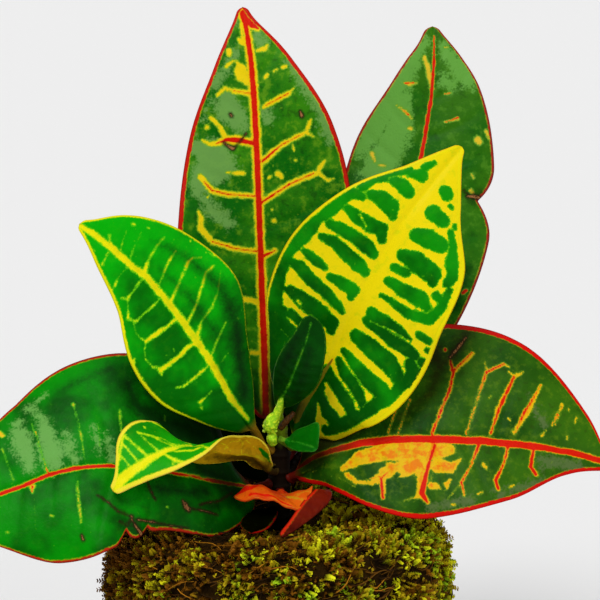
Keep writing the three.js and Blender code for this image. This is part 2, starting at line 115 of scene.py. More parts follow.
LEAF_SHAPES = {
    "leaf_back_centre": {
        "spine": [
            (-0.8, 4.7, 127), (-1.2, 7.5, 127.5), (-2.5, 11, 132), (-4.5, 14, 140.5),
            (-5.5, 20, 165), (-6, 26, 195.5), (-8, 34, 229.5), (-10.5, 42, 256.5), (-13, 50, 274.5),
        ],
        "petiole": 0.08,
        "face": [(0, -1, 0.15), (0, -1, 0.25), (0, -1, 0.35)],
        "widths": [
            (1.5, 1.5), (7, 6), (20.5, 15), (29.5, 25.5), (28.5, 31.5), (23, 27), (12.5, 15),
            (4.2, 4), (0.8, 0.8),
        ],
        "fold": 0.16, "droop": 0.1, "wave": (1.6, 2.5, 0.6),
    },
    "leaf_back_right": {
        "spine": [
            (2.5, 4, 123.5), (4, 6.4, 124), (8, 11.5, 129), (19.5, 20, 144), (33.5, 30, 170),
            (44, 40, 200.5), (51.5, 52, 230.5), (55, 61, 254.5), (54.5, 66, 266),
        ],
        "petiole": 0.11,
        "face": [(-0.1, -1, 0.2), (-0.1, -1, 0.4), (0, -1, 0.5)],
        "widths": [
            (1.5, 1.5), (8, 9), (17, 19.5), (23, 28.5), (24.5, 31), (23.5, 26.5), (14, 17.5),
            (5.5, 5), (0.8, 0.8),
        ],
        "fold": 0.14, "droop": 0.12, "wave": (2, 2, 2.4),
        "nicks": [("right", 0.605, 0.085, 0.2)],
    },
    "leaf_front_right": {
        "spine": [
            (4.6, -0.8, 129.2), (6, -1.6, 130.4), (6.6, -3, 137), (10.5, -6, 149.5), (19, -9, 165),
            (27.5, -12, 185), (40.5, -12, 207.5), (51, -8, 221), (61.5, -3, 233),
        ],
        "petiole": 0.035,
        "face": [(-0.4, -1, 0.25), (-0.2, -1, 0.25), (0.1, -1, 0.2)],
        "widths": [
            (1.5, 1.5), (4, 14), (16.5, 23), (28, 30.5), (30.5, 30.8), (23.5, 27), (11, 13),
            (4, 3.5), (0.8, 0.8),
        ],
        "fold": 0.14, "droop": 0.12, "wave": (1.6, 2.5, 4),
    },
    "leaf_mid_left": {
        "spine": [
            (-3.8, -2.4, 128.2), (-5.4, -3.8, 129), (-7.5, -8, 134.5), (-11, -12, 141.5),
            (-21.5, -17, 159), (-36, -22, 181), (-45, -25, 193), (-56, -28, 204.5),
            (-65, -29, 211.5),
        ],
        "petiole": 0.13,
        "face": [(0.15, -1, 0.3), (0.1, -1, 0.35), (0, -1, 0.4)],
        "widths": [
            (1.5, 1.5), (6.6, 3), (14, 8.8), (21.4, 16.2), (21.4, 24.2), (13.4, 21.2), (8, 14.2),
            (3, 4.4), (0.8, 0.8),
        ],
        "fold": 0.2, "droop": 0.14, "wave": (1.4, 2, 1.2),
    },
    "leaf_low_left": {
        "spine": [
            (-4.4, -2, 115), (-6.5, -4, 115), (-10, -8.5, 115.5), (-16, -14, 117.5),
            (-29, -23, 124), (-46, -30, 129.5), (-63, -33, 130.5), (-80.5, -35, 126),
            (-98.5, -36, 119.5), (-115.5, -36, 112),
        ],
        "petiole": 0.065,
        "face": [(0, -0.75, 0.65), (0, -0.8, 0.6), (0, -0.8, 0.6)],
        "widths": [
            (1.5, 1.5), (10, 14), (19.5, 31), (20.5, 40), (30.5, 40), (28.5, 28.7), (15.5, 15),
            (6, 5.5), (0.8, 0.8),
        ],
        "fold": 0.1, "droop": 0.16, "wave": (1.8, 2.5, 0),
        "nicks": [("left", 0.42, 0.035, 0.16), ("left", 0.35, 0.028, 0.1)],
    },
    "leaf_low_right": {
        "spine": [
            (4.6, -2.1, 118), (6.8, -3.5, 119.4), (10.2, -6, 122.2), (16.5, -9, 127),
            (27.5, -12, 131.3), (44.5, -14, 135.5), (64.5, -15, 135.5), (85, -15, 133.5),
            (100, -15, 130), (114, -15, 124.5),
        ],
        "petiole": 0.02,
        "face": [(0, -0.75, 0.65), (0, -0.8, 0.6), (0, -0.8, 0.6)],
        "widths": [
            (1.5, 1.5), (8, 5), (26, 14.6), (37, 27.4), (43, 28), (36, 21), (19, 8.5),
            (4, 2.5), (0.8, 0.8),
        ],
        "fold": 0.12, "droop": 0.14, "wave": (1.8, 2.5, 3.05),
    },
    "leaf_twisted": {
        "spine": [
            (-2.3, -3.9, 121.5), (-3.2, -6, 122), (-5, -9.5, 125), (-9, -14, 130), (-17, -22, 133),
            (-24, -28, 136), (-30.5, -33, 137), (-36.5, -36, 136.5), (-43, -39, 134.5),
            (-48.5, -41, 130.5), (-54.5, -42, 124.5),
        ],
        "petiole": 0.05,
        "face": [
            (0, 0.9, 0.35), (0, 0.9, 0.37), (0, 0.8, 0.64), (0, -0.24, 0.83), (0, -0.73, 0.67),
            (0, -0.8, 0.6),
        ],
        "widths": [(1.4, 1.4), (3.2, 4.5), (7.6, 5.8), (9, 14.2), (7.8, 15.6), (3.7, 3.9), (1, 1.2)],
        "fold": 0.1, "droop": 0.1, "wave": (0.6, 1, 0),
    },
    "leaf_young_centre": {
        "spine": [
            (0, 0, 139.5), (0.1, -0.8, 141.2), (0.6, -4.5, 144.5), (2, -10.5, 149.5),
            (4.3, -15.5, 156), (7, -19, 164), (9.5, -21.5, 171.5), (10.5, -23, 179.5),
        ],
        "petiole": 0.12,
        "face": [(0.1, -1, 0.5), (0, -1, 0.3), (0, -1, 0.2)],
        "widths": [(1.2, 1.2), (3.5, 4.5), (7, 9), (4.5, 6), (0.6, 0.6)],
        "fold": 0.3, "droop": 0.2, "wave": (0.4, 1.5, 0),
    },
    "leaf_young_right": {
        "spine": [
            (1.8, -3.4, 131), (2.8, -5.4, 131.4), (5.2, -9.5, 132.6), (9, -13.5, 133),
            (13, -17, 132.5),
        ],
        "petiole": 0.16,
        "face": [(-0.3, -0.7, 0.6), (-0.5, -0.8, 0.3)],
        "widths": [(1, 1), (3.4, 2.2), (5.6, 3.2), (8, 2.2), (0.6, 0.6)],
        "fold": 0.2, "droop": 0.1, "wave": (0.2, 1, 0),
    },
    "leaf_crinkled": {
        "spine": [
            (0.4, -4.9, 112.8), (0.5, -7, 113.4), (0.8, -10.5, 114.6), (1.5, -15, 115.4),
            (3.2, -21, 116), (7, -27.5, 114.6),
        ],
        "petiole": 0.2,
        "face": [(0, -0.1, 1), (0, -0.2, 1)],
        "widths": [(1.2, 1.2), (5, 5), (9.5, 18.2), (6, 4.2), (0.7, 0.7)],
        "fold": 0.6, "droop": 0.58, "wave": (2.2, 0.5, -1), "crumple": 1.4,
    },
    "leaf_low_red": {
        "spine": [
            (3.4, -3.4, 110), (5, -5.2, 110.4), (11, -9.5, 113.4), (16.2, -14.5, 116.6),
            (15.8, -20.5, 115.2), (11.5, -26, 112.2), (6.5, -31.5, 109.8), (1, -38, 107.8),
        ],
        "petiole": 0.2,
        "face": [(0.3, -0.4, 0.9), (0.4, -0.5, 0.8), (0.5, -0.5, 0.7)],
        "widths": [(1.2, 1.2), (1.8, 4), (1.2, 5.5), (1, 2.6), (0.6, 0.6)],
        "fold": 0.1, "droop": 0.1, "wave": (0.5, 1.5, 1),
    },
    "leaf_back_low": {
        "spine": [
            (-0.5, 4.7, 112.5), (-1, 7.2, 112.6), (-3, 14, 113.5), (-7, 26, 120), (-12, 40, 131),
            (-16, 55, 141), (-19, 66, 146),
        ],
        "petiole": 0.08,
        "face": [(0, -0.3, 1), (0, -0.6, 0.8), (0, -0.5, 0.9)],
        "widths": [(1.5, 1.5), (9, 8), (20, 15), (23, 21), (20, 20), (10, 10), (0.8, 0.8)],
        "fold": 0.14, "droop": 0.12, "wave": (1.4, 2, 1),
    },
    "leaf_under": {
        "spine": [
            (-1.3, -4.7, 107.5), (-2, -7.5, 107.7), (-4.5, -18, 110), (-7, -28, 110.2),
            (-9, -37, 108.8),
        ],
        "petiole": 0.15,
        "face": [(0, -0.2, 1), (0, -0.3, 1)],
        "widths": [(1.2, 1.2), (3, 3), (5.2, 5.2), (4.8, 4.8), (0.6, 0.6)],
        "fold": 0.15, "droop": 0.1, "wave": (0.3, 1, 0),
    },
}

# ---------------------------------------------------------------- leaf markings
#
# A marking is a stroke of (pixel across, pixel down, half-width in millimetres). A half-width
# below zero leaves only the faint fringe of the stroke.
#
# rim         widths of the coloured margin in millimetres, [left, right] from foot to tip
# halo        width of the yellow line beside each red vein, in millimetres
# gold        yellow tissue                  islands     green patches inside the yellow strokes
# scar        dry brown marks                sheen       greyish patches of painted sheen
# painted shade  dark strokes where shade falls   blush       veins and patches of the finish's "blush"
# cells       green cells of a leaf whose ground is yellow
# growth      how far the cells reach beyond their strokes, in millimetres
# turn        share of the blade at which the leaf turns over; foot_ strokes lie before it
# foot_green  where the underside has the green of the upper side

LEAF_MARKS = {}
LEAF_MARKS["leaf_back_centre"] = {
    "rim": [(1.2, 0.9), (1.6, 1.3), (1.6, 1.5), (1.4, 1.6), (1.1, 1.5)], "halo": 0.95,
    "blush": [
        [(270, 437, 1.1), (266, 415, 1.1), (264, 340, 1.05), (262, 282, 1), (259, 190, 0.95),
         (256, 130, 0.95), (254, 90, 0.95), (251, 59, 0.85), (248, 41, 0.8), (246, 27, 0.7),
         (244, 14, 1.5)],
        [(247, 17, 1.2), (253, 24, 1.4), (258, 29, 0.5)],
        [(255, 144, 0.6), (240, 141, 0.85), (227, 140, 0.6), (217, 143, 0.1)],
        [(254, 197, 0.15), (228, 194, 0.25), (213, 191, 0.2), (204, 181, 0.15)],
        [(256, 252, 0.15), (236, 249, 0.15), (212, 242, 0.12)], [(253, 95, 0.1), (234, 91, 0.05)],
        [(266, 106, 0.05), (288, 93, 0.1)], [(262, 161, 0.45), (281, 146, 0.15), (303, 134, 0)],
        [(262, 202, 0.35), (289, 185, 0.2), (314, 174, 0.1)], [(264, 256, 0.4), (275, 250, 0.1)],
    ],
    "gold": [
        [(248, 94, 0.5), (234, 91, 0.7), (225, 88, 0.9), (217, 96, 0.5)],
        [(241, 25, 0.5), (243, 38, 0.9), (247, 50, 0.8), (249, 62, 0.5)],
        [(239, 40, 0.7), (242, 44, 0.7)],
        [(237, 63, 0.6), (241, 70, 2.3), (243, 76, 2.5), (247, 82, 1.3)],
        [(229, 51, 0.9), (229, 54, 1)], [(226, 66, 0.6), (233, 62, 0.6), (238, 63, 0.4)],
        [(257, 52, 0.7), (265, 49, 1), (267, 46, 0.5)], [(265, 77, 0.8), (267, 75, 0.7)],
        [(274, 72, 0.4), (277, 70, 0.3)], [(283, 67, 0.8), (286, 67, 0.6)],
        [(264, 107, 0.7), (277, 100, 0.9), (288, 93, 0.9), (294, 88, 0.2)],
        [(262, 162, 1.2), (281, 146, 1.1), (299, 136, 0.9), (305, 133, 0.7), (313, 136, 0.4)],
        [(307, 129, 0.8), (311, 121, 0.6)], [(293, 145, 0.3), (294, 150, 0.3)],
        [(261, 202, 1), (289, 185, 1.1), (317, 173, 1), (322, 165, 0.8), (324, 162, 0.7)],
        [(318, 174, 0.7), (327, 181, 0.6), (334, 178, 0.2)], [(264, 256, 0.9), (275, 250, 0.8)],
        [(254, 144, 1), (240, 142, 1.3), (227, 141, 1.3), (217, 144, 0.9), (209, 144, 0.8),
         (202, 140, 0.4)],
        [(226, 138, 1), (219, 127, 0.9), (211, 118, 0.8)], [(207, 127, 0.9), (208, 128, 0.8)],
        [(227, 172, 0.2), (235, 173, 0.8), (243, 174, 0.7)],
        [(200, 177, 1), (203, 180, 1.1), (213, 191, 0.9), (228, 194, 0.8), (255, 197, 0.7)],
        [(199, 211, 0.4), (201, 217, 0.8), (201, 228, 1.3), (212, 242, 1), (236, 248, 1.1),
         (256, 252, 0.9)],
        [(207, 197, 0.4), (208, 197, 0.3)], [(258, 301, 1), (242, 299, 1.2)],
        [(258, 353, 0.8), (252, 353, 0.9)], [(272, 209, 0.45), (273, 210, 0.4)],
        [(272, 220, 0.7), (275, 220, 0.8)], [(278, 174, 1.1), (282, 177, 0.9)],
        [(268, 178, 0.4), (270, 177, 0.4)], [(295, 161, 0.5), (296, 160, 0.5)],
    ],
    "scar": [
        [(234, 149, 0.15), (246, 134, 0.1)], [(231, 114, 0.5), (232, 116, 0.4)],
        [(224, 143, 0.4), (233, 149, 0.6)], [(300, 112, 0.3), (302, 116, 0.5)],
    ],
    "bloom": [
        [(226, 98, 3), (230, 112, 5), (240, 124, 3)],
        [(196, 148, 3), (214, 156, 6), (226, 166, 4), (205, 176, 5), (198, 190, 3)],
        [(212, 98, 0.5), (203, 120, 0.5)], [(199, 190, 1), (212, 209, 2.2), (228, 222, 2)],
        [(257, 30, 1.5), (260, 42, 2.5)], [(239, 12, 1.2), (236, 22, 0.8)],
        [(215, 84, 2), (222, 74, 1.5), (238, 50, 1)],
        [(290, 62, 1), (304, 82, 2.5), (318, 104, 2.5), (332, 138, 2)],
        [(266, 112, 2), (268, 120, 1.5)],
    ],
    "dusk": [[(278, 330, 2), (276, 400, 4)], [(246, 385, 2), (254, 420, 3)]],
}
LEAF_MARKS["leaf_back_right"] = {
    "rim": [(0.6, 0.7), (0.9, 0.8), (0.9, 0.9), (0.8, 0.7)], "halo": 0.12,
    "blush": [
        [(300, 400, 0.8), (330, 350, 0.8), (370, 290, 0.8), (400, 230, 0.8), (415, 190, 0.75),
         (421, 158, 0.7), (425, 139, 0.65), (431, 99, 0.6), (434, 60, 0.4), (434, 37, 0.15)],
        [(405, 84, 0.1), (414, 83, 0.25)], [(403, 110, 0.05), (409, 115, 0.2)],
        [(444, 95, 0.05), (450, 93, 0.1)], [(446, 122, 0.05), (459, 118, 0.25)],
        [(463, 294, 0.5), (466, 291, 0.6)],
    ],
    "gold": [
        [(424, 57, 0.9), (428, 68, 1.1), (430, 80, 0.9), (430, 88, 0.3)],
        [(404, 84, 0.4), (411, 84, 0.9), (416, 84, 0.6)],
        [(397, 106, 0.4), (405, 112, 0.8), (412, 118, 0.5)], [(409, 128, 0.7), (411, 129, 0.7)],
        [(372, 154, 0.8), (375, 161, 0.7)], [(379, 165, 0.5), (385, 166, 0.5)],
        [(478, 140, 1.4), (479, 142, 1.4)], [(444, 122, 0.4), (459, 119, 0.5)],
        [(444, 95, 0.3), (451, 93, 0.3)], [(486, 131, 0.7), (489, 138, 0.5)],
        [(470, 191, 0.8), (472, 193, 0.7)], [(472, 175, 0.5), (474, 178, 0.4)],
        [(445, 47, 0.5), (448, 48, 0.3)],
    ],
    "scar": [[(479, 199, 0.5), (473, 197, 0.6), (467, 196, 0.3)], [(469, 196, 0.2), (464, 191, 0.05)]],
    "bloom": [
        [(424, 42, 2), (404, 76, 4), (392, 96, 4), (376, 124, 5), (362, 150, 3)],
        [(400, 100, 4), (398, 130, 5), (384, 160, 6), (370, 172, 4)],
        [(442, 46, 2), (456, 62, 3), (468, 80, 4)], [(444, 80, 2), (452, 86, 2)],
    ],
    "dusk": [[(484, 196, 1.2), (472, 200, 1)], [(450, 300, 3), (466, 270, 1)]],
}
LEAF_MARKS["leaf_front_right"] = {
    "rim": [(-0.3, 1.5), (0.6, 1.5), (0.9, 1.4), (1, 1.5), (1.3, 1.7)], "growth": 0.42,
    "cells": [
        [(280, 316, 0.7), (279, 296, 0.8), (282, 276, 0.8), (290, 260, 0.7)],
        [(284, 287, 0.3), (296, 301, 0.5), (312, 316, 0.2)], [(411, 174, 1), (421, 176, 2)],
        [(425, 167, 1.1), (434, 163, 0.5)], [(386, 175, 0.9), (397, 173, 0.8), (409, 171, 0.9)],
        [(393, 181, 1.3), (402, 186, 2.1), (409, 192, 1.8)],
        [(362, 187, 1.3), (373, 181, 1), (377, 178, 1.3), (385, 179, 1)],
        [(373, 194, 1.5), (381, 199, 2.4), (391, 207, 2.6), (393, 217, 1)],
        [(348, 208, 1.2), (359, 218, 2), (371, 226, 2.1), (381, 230, 2.1), (382, 239, 1.3)],
        [(363, 197, 1), (353, 192, 1.4), (345, 198, 1.5), (334, 207, 2), (324, 215, 1.7)],
        [(329, 223, 1.2), (342, 228, 1.9), (356, 237, 1.9), (367, 247, 2.3), (374, 254, 1.3)],
        [(322, 236, 1), (334, 242, 1.8), (345, 253, 2), (359, 264, 2.3), (365, 272, 1.3)],
        [(305, 251, 1), (315, 260, 1.5), (325, 268, 1)],
        [(331, 277, 1), (342, 282, 1.8), (353, 289, 1.9), (352, 297, 1)],
        [(290, 260, 1), (301, 267, 2), (311, 279, 2), (325, 292, 1.8), (339, 305, 1.3),
         (343, 312, 0.6)],
        [(291, 289, 1.3), (301, 296, 2.1), (317, 309, 2.6), (331, 322, 2.5), (332, 331, 1.2)],
        [(317, 219, 1.5), (311, 228, 2.1), (301, 239, 2.3), (289, 249, 2.4), (282, 260, 2.4),
         (279, 274, 2.3), (277, 288, 2.2), (275, 303, 2.6), (273, 324, 3.4)],
        [(280, 314, 3.3), (277, 335, 3.3), (276, 356, 3), (278, 378, 3)],
        [(297, 318, 3.6), (301, 342, 5.7), (297, 363, 5.7), (288, 395, 4.5), (290, 414, 3),
         (296, 426, 2)],
        [(313, 338, 3), (314, 356, 2.4), (306, 375, 1.5)], [(445, 193, 2), (447, 195, 1.8)],
        [(433, 213, 2.4), (443, 221, 2)], [(450, 206, 0.5), (452, 208, 0.4)],
        [(454, 227, 0.7), (455, 228, 0.6)], [(417, 235, 2.1), (429, 239, 3), (441, 246, 2.3)],
        [(451, 233, 0.8), (454, 247, 1), (452, 264, 2), (453, 278, 1.5), (448, 283, 1.3)],
        [(404, 255, 1.9), (416, 262, 3.1), (432, 273, 3), (432, 282, 1.5)],
        [(395, 267, 1.2), (406, 272, 1.3)],
        [(388, 281, 1.3), (402, 289, 1.9), (421, 299, 2.5), (428, 307, 1.4)],
        [(437, 296, 1.2), (442, 302, 1.2)],
        [(381, 294, 0.4), (395, 304, 1), (409, 314, 1.5), (429, 320, 1.5), (442, 308, 1.3),
         (449, 291, 0.9)],
        [(372, 313, 1.8), (385, 322, 2.1), (398, 330, 2), (409, 339, 1)],
        [(367, 321, 1.3), (381, 332, 1.5), (395, 342, 1.9), (409, 350, 2.1), (416, 355, 1.2)],
        [(420, 335, 1), (430, 341, 1)], [(427, 350, 0.8), (431, 352, 0.7)],
        [(357, 336, 2.1), (371, 348, 2.9), (388, 363, 3.1), (397, 376, 2.3)],
        [(411, 364, 1.8), (413, 372, 2), (409, 381, 1.8), (399, 387, 1.5)],
        [(423, 362, 1.4), (425, 369, 1.2), (415, 379, 1.4)],
        [(345, 350, 0.9), (356, 363, 1.8), (367, 379, 2.4), (380, 390, 2.8), (388, 397, 1.7)],
        [(339, 360, 1), (345, 372, 1.8), (353, 384, 1.9), (359, 395, 1.9), (362, 404, 1.2)],
        [(329, 374, 1.7), (339, 390, 2.1), (348, 404, 2.1), (353, 415, 1.4)],
        [(399, 388, 1.4), (390, 398, 1.9), (377, 404, 2.1), (367, 412, 1.9), (353, 419, 2),
         (342, 425, 2.1), (328, 429, 2)],
        [(318, 390, 1.9), (324, 407, 2.4), (334, 418, 2.4)],
        [(315, 390, 1.6), (310, 407, 3.2), (306, 421, 3.4)],
        [(319, 349, 2.2), (313, 366, 2.6), (304, 386, 3), (296, 404, 3)],
        [(328, 369, 1.4), (322, 382, 2.2), (311, 396, 2.6), (301, 416, 3)],
    ],
    "blush": [
        [(332, 359, 0.2), (324, 372, 0.9), (314, 388, 1.2), (303, 406, 1.3), (297, 418, 1.4)],
        [(410, 222, -0.42), (384, 265, -0.38), (356, 312, -0.36), (336, 348, -0.4)],
    ],
    "gold": [
        [(336, 350, 0.9), (328, 366, 0.3)], [(360, 214, 0.1), (367, 226, 0.15)],
        [(370, 320, 0.05), (394, 332, 0.1), (409, 341, 0.25)],
        [(334, 370, 0), (350, 390, 0.15), (360, 409, 0.3)],
        [(318, 404, 0.3), (320, 414, 0.9), (321, 421, 1.4)], [(321, 420, 0.8), (328, 424, 0.4)],
        [(327, 385, 0.6), (334, 397, 0.95), (343, 409, 0.6)], [(288, 300, 0.8), (308, 319, 0.9)],
        [(288, 317, 0.3), (299, 329, 0.5)], [(282, 329, -0.1), (290, 338, 0)],
        [(319, 326, 0.3), (331, 339, 1)], [(298, 300, 0.4), (300, 303, 0.5)],
        [(310, 320, -0.35), (307, 345, -0.3)],
    ],
    "dusk": [[(284, 380, 4), (292, 404, 4)], [(303, 350, 2), (296, 372, 3)]],
}
LEAF_MARKS["leaf_mid_left"] = {
    "rim": [(0, 0), (0.9, 0), (1.05, 0.2), (0.95, 0.5), (0.9, 0.7)],
    "gold": [
        [(80, 226, 0.8), (92, 233, 1.1), (114, 250, 1.3), (129, 264, 1.15), (146, 276, 1.15),
         (170, 304, 1.15), (192, 335, 1.3), (209, 360, 1.2), (231, 398, 1.2), (246, 418, 0.6)],
        [(112, 248, 0.6), (109, 240, 0.2), (109, 235, 0.25)],
        [(120, 250, 0.1), (123, 240, -0.05), (126, 230, -0.1)],
        [(130, 259, 0.1), (133, 248, -0.05), (140, 232, -0.1)],
        [(144, 272, 0.7), (149, 259, 0.15), (156, 246, 0.25), (164, 237, -0.05)],
        [(157, 288, 0.3), (161, 278, 0), (165, 269, 0.45), (169, 260, 0.3), (175, 251, -0.1)],
        [(169, 303, 0.7), (179, 284, 0.2), (187, 262, 0.5), (192, 258, 0.1), (201, 256, -0.1)],
        [(186, 323, 0.7), (195, 305, 0.2), (201, 287, 0.5), (205, 272, 0.35), (213, 265, 0.3)],
        [(196, 335, 0.9), (202, 321, 0.15), (211, 308, 0.2), (218, 293, 0.1), (220, 271, -0.15)],
        [(210, 356, 0.2), (218, 338, 0.15), (225, 322, 0.05)], [(217, 366, -0.15), (228, 352, -0.2)],
        [(133, 224, 0.35), (134, 224, 0.35)], [(147, 228, 0.1), (149, 229, 0.1)],
        [(190, 241, 0.25), (191, 241, 0.15)], [(206, 253, 0.05), (214, 254, 0.2)],
        [(215, 255, 0.3), (218, 257, 0.1)], [(237, 318, 0.1), (238, 319, 0.1)],
        [(108, 252, 0.15), (104, 259, 0), (102, 264, 0.4)], [(94, 250, 0), (95, 251, 0)],
        [(128, 266, 0), (118, 277, -0.05), (115, 285, 0.15), (111, 290, -0.1)],
        [(143, 279, 0.2), (139, 282, 0.3), (133, 290, 0.2), (126, 299, 0.3), (121, 298, 0.1)],
        [(127, 300, -0.05), (127, 308, -0.1), (128, 318, 0.45), (135, 321, 0.1)],
        [(160, 299, 0.1), (153, 304, 0.2), (148, 309, 0.15), (136, 320, 0.15)],
        [(133, 322, -0.05), (136, 333, -0.1), (142, 340, 0.25)],
        [(177, 318, 0.5), (171, 322, 0.6), (166, 326, 0.45), (158, 331, 0.85), (146, 340, 0.6)],
        [(146, 340, 0.1), (144, 350, 0.05), (145, 359, -0.05), (152, 366, 0.1), (158, 368, 0.4)],
        [(194, 342, 0.4), (188, 347, 0.8), (179, 356, 0.7), (160, 369, 0.9)],
        [(160, 369, 0.4), (161, 374, 0.2)],
        [(209, 365, 0.2), (203, 370, 0.5), (198, 374, 0.3), (192, 379, 0.55), (184, 386, 0.3),
         (177, 388, 0.25)],
        [(211, 391, 0), (205, 397, 0.05), (199, 402, 0.5)], [(200, 407, 0.25), (201, 408, 0.2)],
        [(173, 349, 0.1), (174, 350, 0.1)], [(133, 359, 0.4), (134, 365, 0.3)],
        [(142, 379, 0.4), (143, 384, 0.3)],
    ],
    "blush": [[(222, 380, -0.3), (236, 402, -0.25)]],
    "dusk": [
        [(232, 300, 0.5), (238, 340, 2.5), (244, 395, 2)], [(215, 345, -1), (222, 372, 0)],
        [(152, 240, -0.8), (186, 258, 0.6), (216, 282, 1.4), (234, 318, 2.2)],
        [(160, 268, -0.8), (192, 300, 0.2), (216, 334, 0.8)],
    ],
}
LEAF_MARKS["leaf_low_left"] = {
    "rim": [(0.5, 0.5), (0.95, 0.9), (0.85, 1), (0.75, 0.95), (0.7, 0.8)], "halo": 0.25,
    "blush": [
        [(-66, 520, 0.4), (-30, 507, 0.5), (0, 495, 0.62), (23, 486, 0.62), (50, 475, 0.6),
         (80, 468, 0.6), (111, 466, 0.55), (175, 474, 0.5), (214, 482, 0.5), (252, 489, 0.9)],
        [(32, 487, 0.3), (33, 492, 0.1)], [(36, 432, -0.1), (48, 472, 0.05)],
    ],
    "gold": [
        [(46, 470, -0.1), (32, 425, 0.1)], [(85, 463, -0.2), (81, 434, 0.25), (73, 405, 0.1)],
        [(73, 405, 0.35), (73, 407, 0.3)], [(121, 433, 0.15), (119, 411, 0.2)],
        [(33, 487, 1.2), (33, 493, 0.3)], [(78, 482, 0.1), (79, 500, 0.5), (81, 522, 0.2)],
        [(14, 480, 0), (2, 450, 0.2)], [(0, 434, 1), (2, 437, 0.9)], [(164, 416, 0.1), (164, 422, 0.2)],
        [(98, 426, -0.1), (99, 448, -0.1)], [(34, 500, -0.2), (36, 530, -0.2)],
        [(-20, 498, 0.3), (-32, 462, 0.25)], [(52, 516, 0.25), (53, 517, 0.2)],
        [(166, 507, 0.2), (167, 508, 0.2)], [(7, 532, 0.2), (8, 533, 0.2)],
    ],
    "scar": [
        [(185, 505, 0.5), (188, 510, 0.7)],
        [(98, 496, 0), (108, 503, 0.1), (118, 512, 0.12), (131, 517, 0.2)],
        [(131, 520, 0.1), (136, 528, 0.3), (141, 535, 0.6)],
        [(119, 522, 0), (127, 526, 0.1), (131, 519, 0.1)],
        [(138, 521, 0.3), (150, 522, 0.25), (170, 526, 0.1), (188, 529, 0)],
        [(182, 501, 0.25), (185, 508, 0.55), (188, 511, 0.3)],
        [(189, 509, 0.05), (203, 511, 0.1), (217, 515, 0.1)],
        [(199, 505, 0.05), (208, 503, 0.15), (217, 502, 0.1), (230, 494, 0)],
        [(146, 482, -0.1), (150, 490, 0.05), (155, 501, 0)], [(82, 536, 0.3), (83, 540, 0.4)],
    ],
    "bloom": [
        [(18, 424, 1.5), (22, 440, 3.6), (30, 466, 2)],
        [(36, 410, 0.5), (48, 436, 3), (52, 456, 3.8), (56, 466, 2.4)],
        [(66, 432, 0.5), (70, 450, 2), (76, 462, 1)], [(28, 410, 1), (44, 396, 0.5)],
        [(95, 426, 0.3), (98, 438, 0.8), (101, 454, 0.3)], [(107, 438, 0.8), (112, 460, 1.4)],
    ],
    "dusk": [
        [(150, 392, 2.5), (186, 414, 3.5), (222, 438, 5.5), (244, 462, 5.5), (262, 480, 4)],
        [(128, 385, 2), (135, 405, 3), (160, 425, 4), (205, 440, 5)],
        [(60, 392, -0.8), (84, 380, 0.2), (112, 368, 0.4)],
        [(200, 460, 5), (225, 478, 6), (232, 492, 4)], [(150, 488, 1), (180, 492, 1), (205, 492, 2)],
        [(112, 500, -1), (145, 508, 0)], [(121, 521, 0.6), (130, 524, 1.6), (138, 529, 2)],
        [(120, 526, 0.4), (138, 533, 1.6)], [(206, 506, 0), (216, 507, 0.5)],
    ],
}
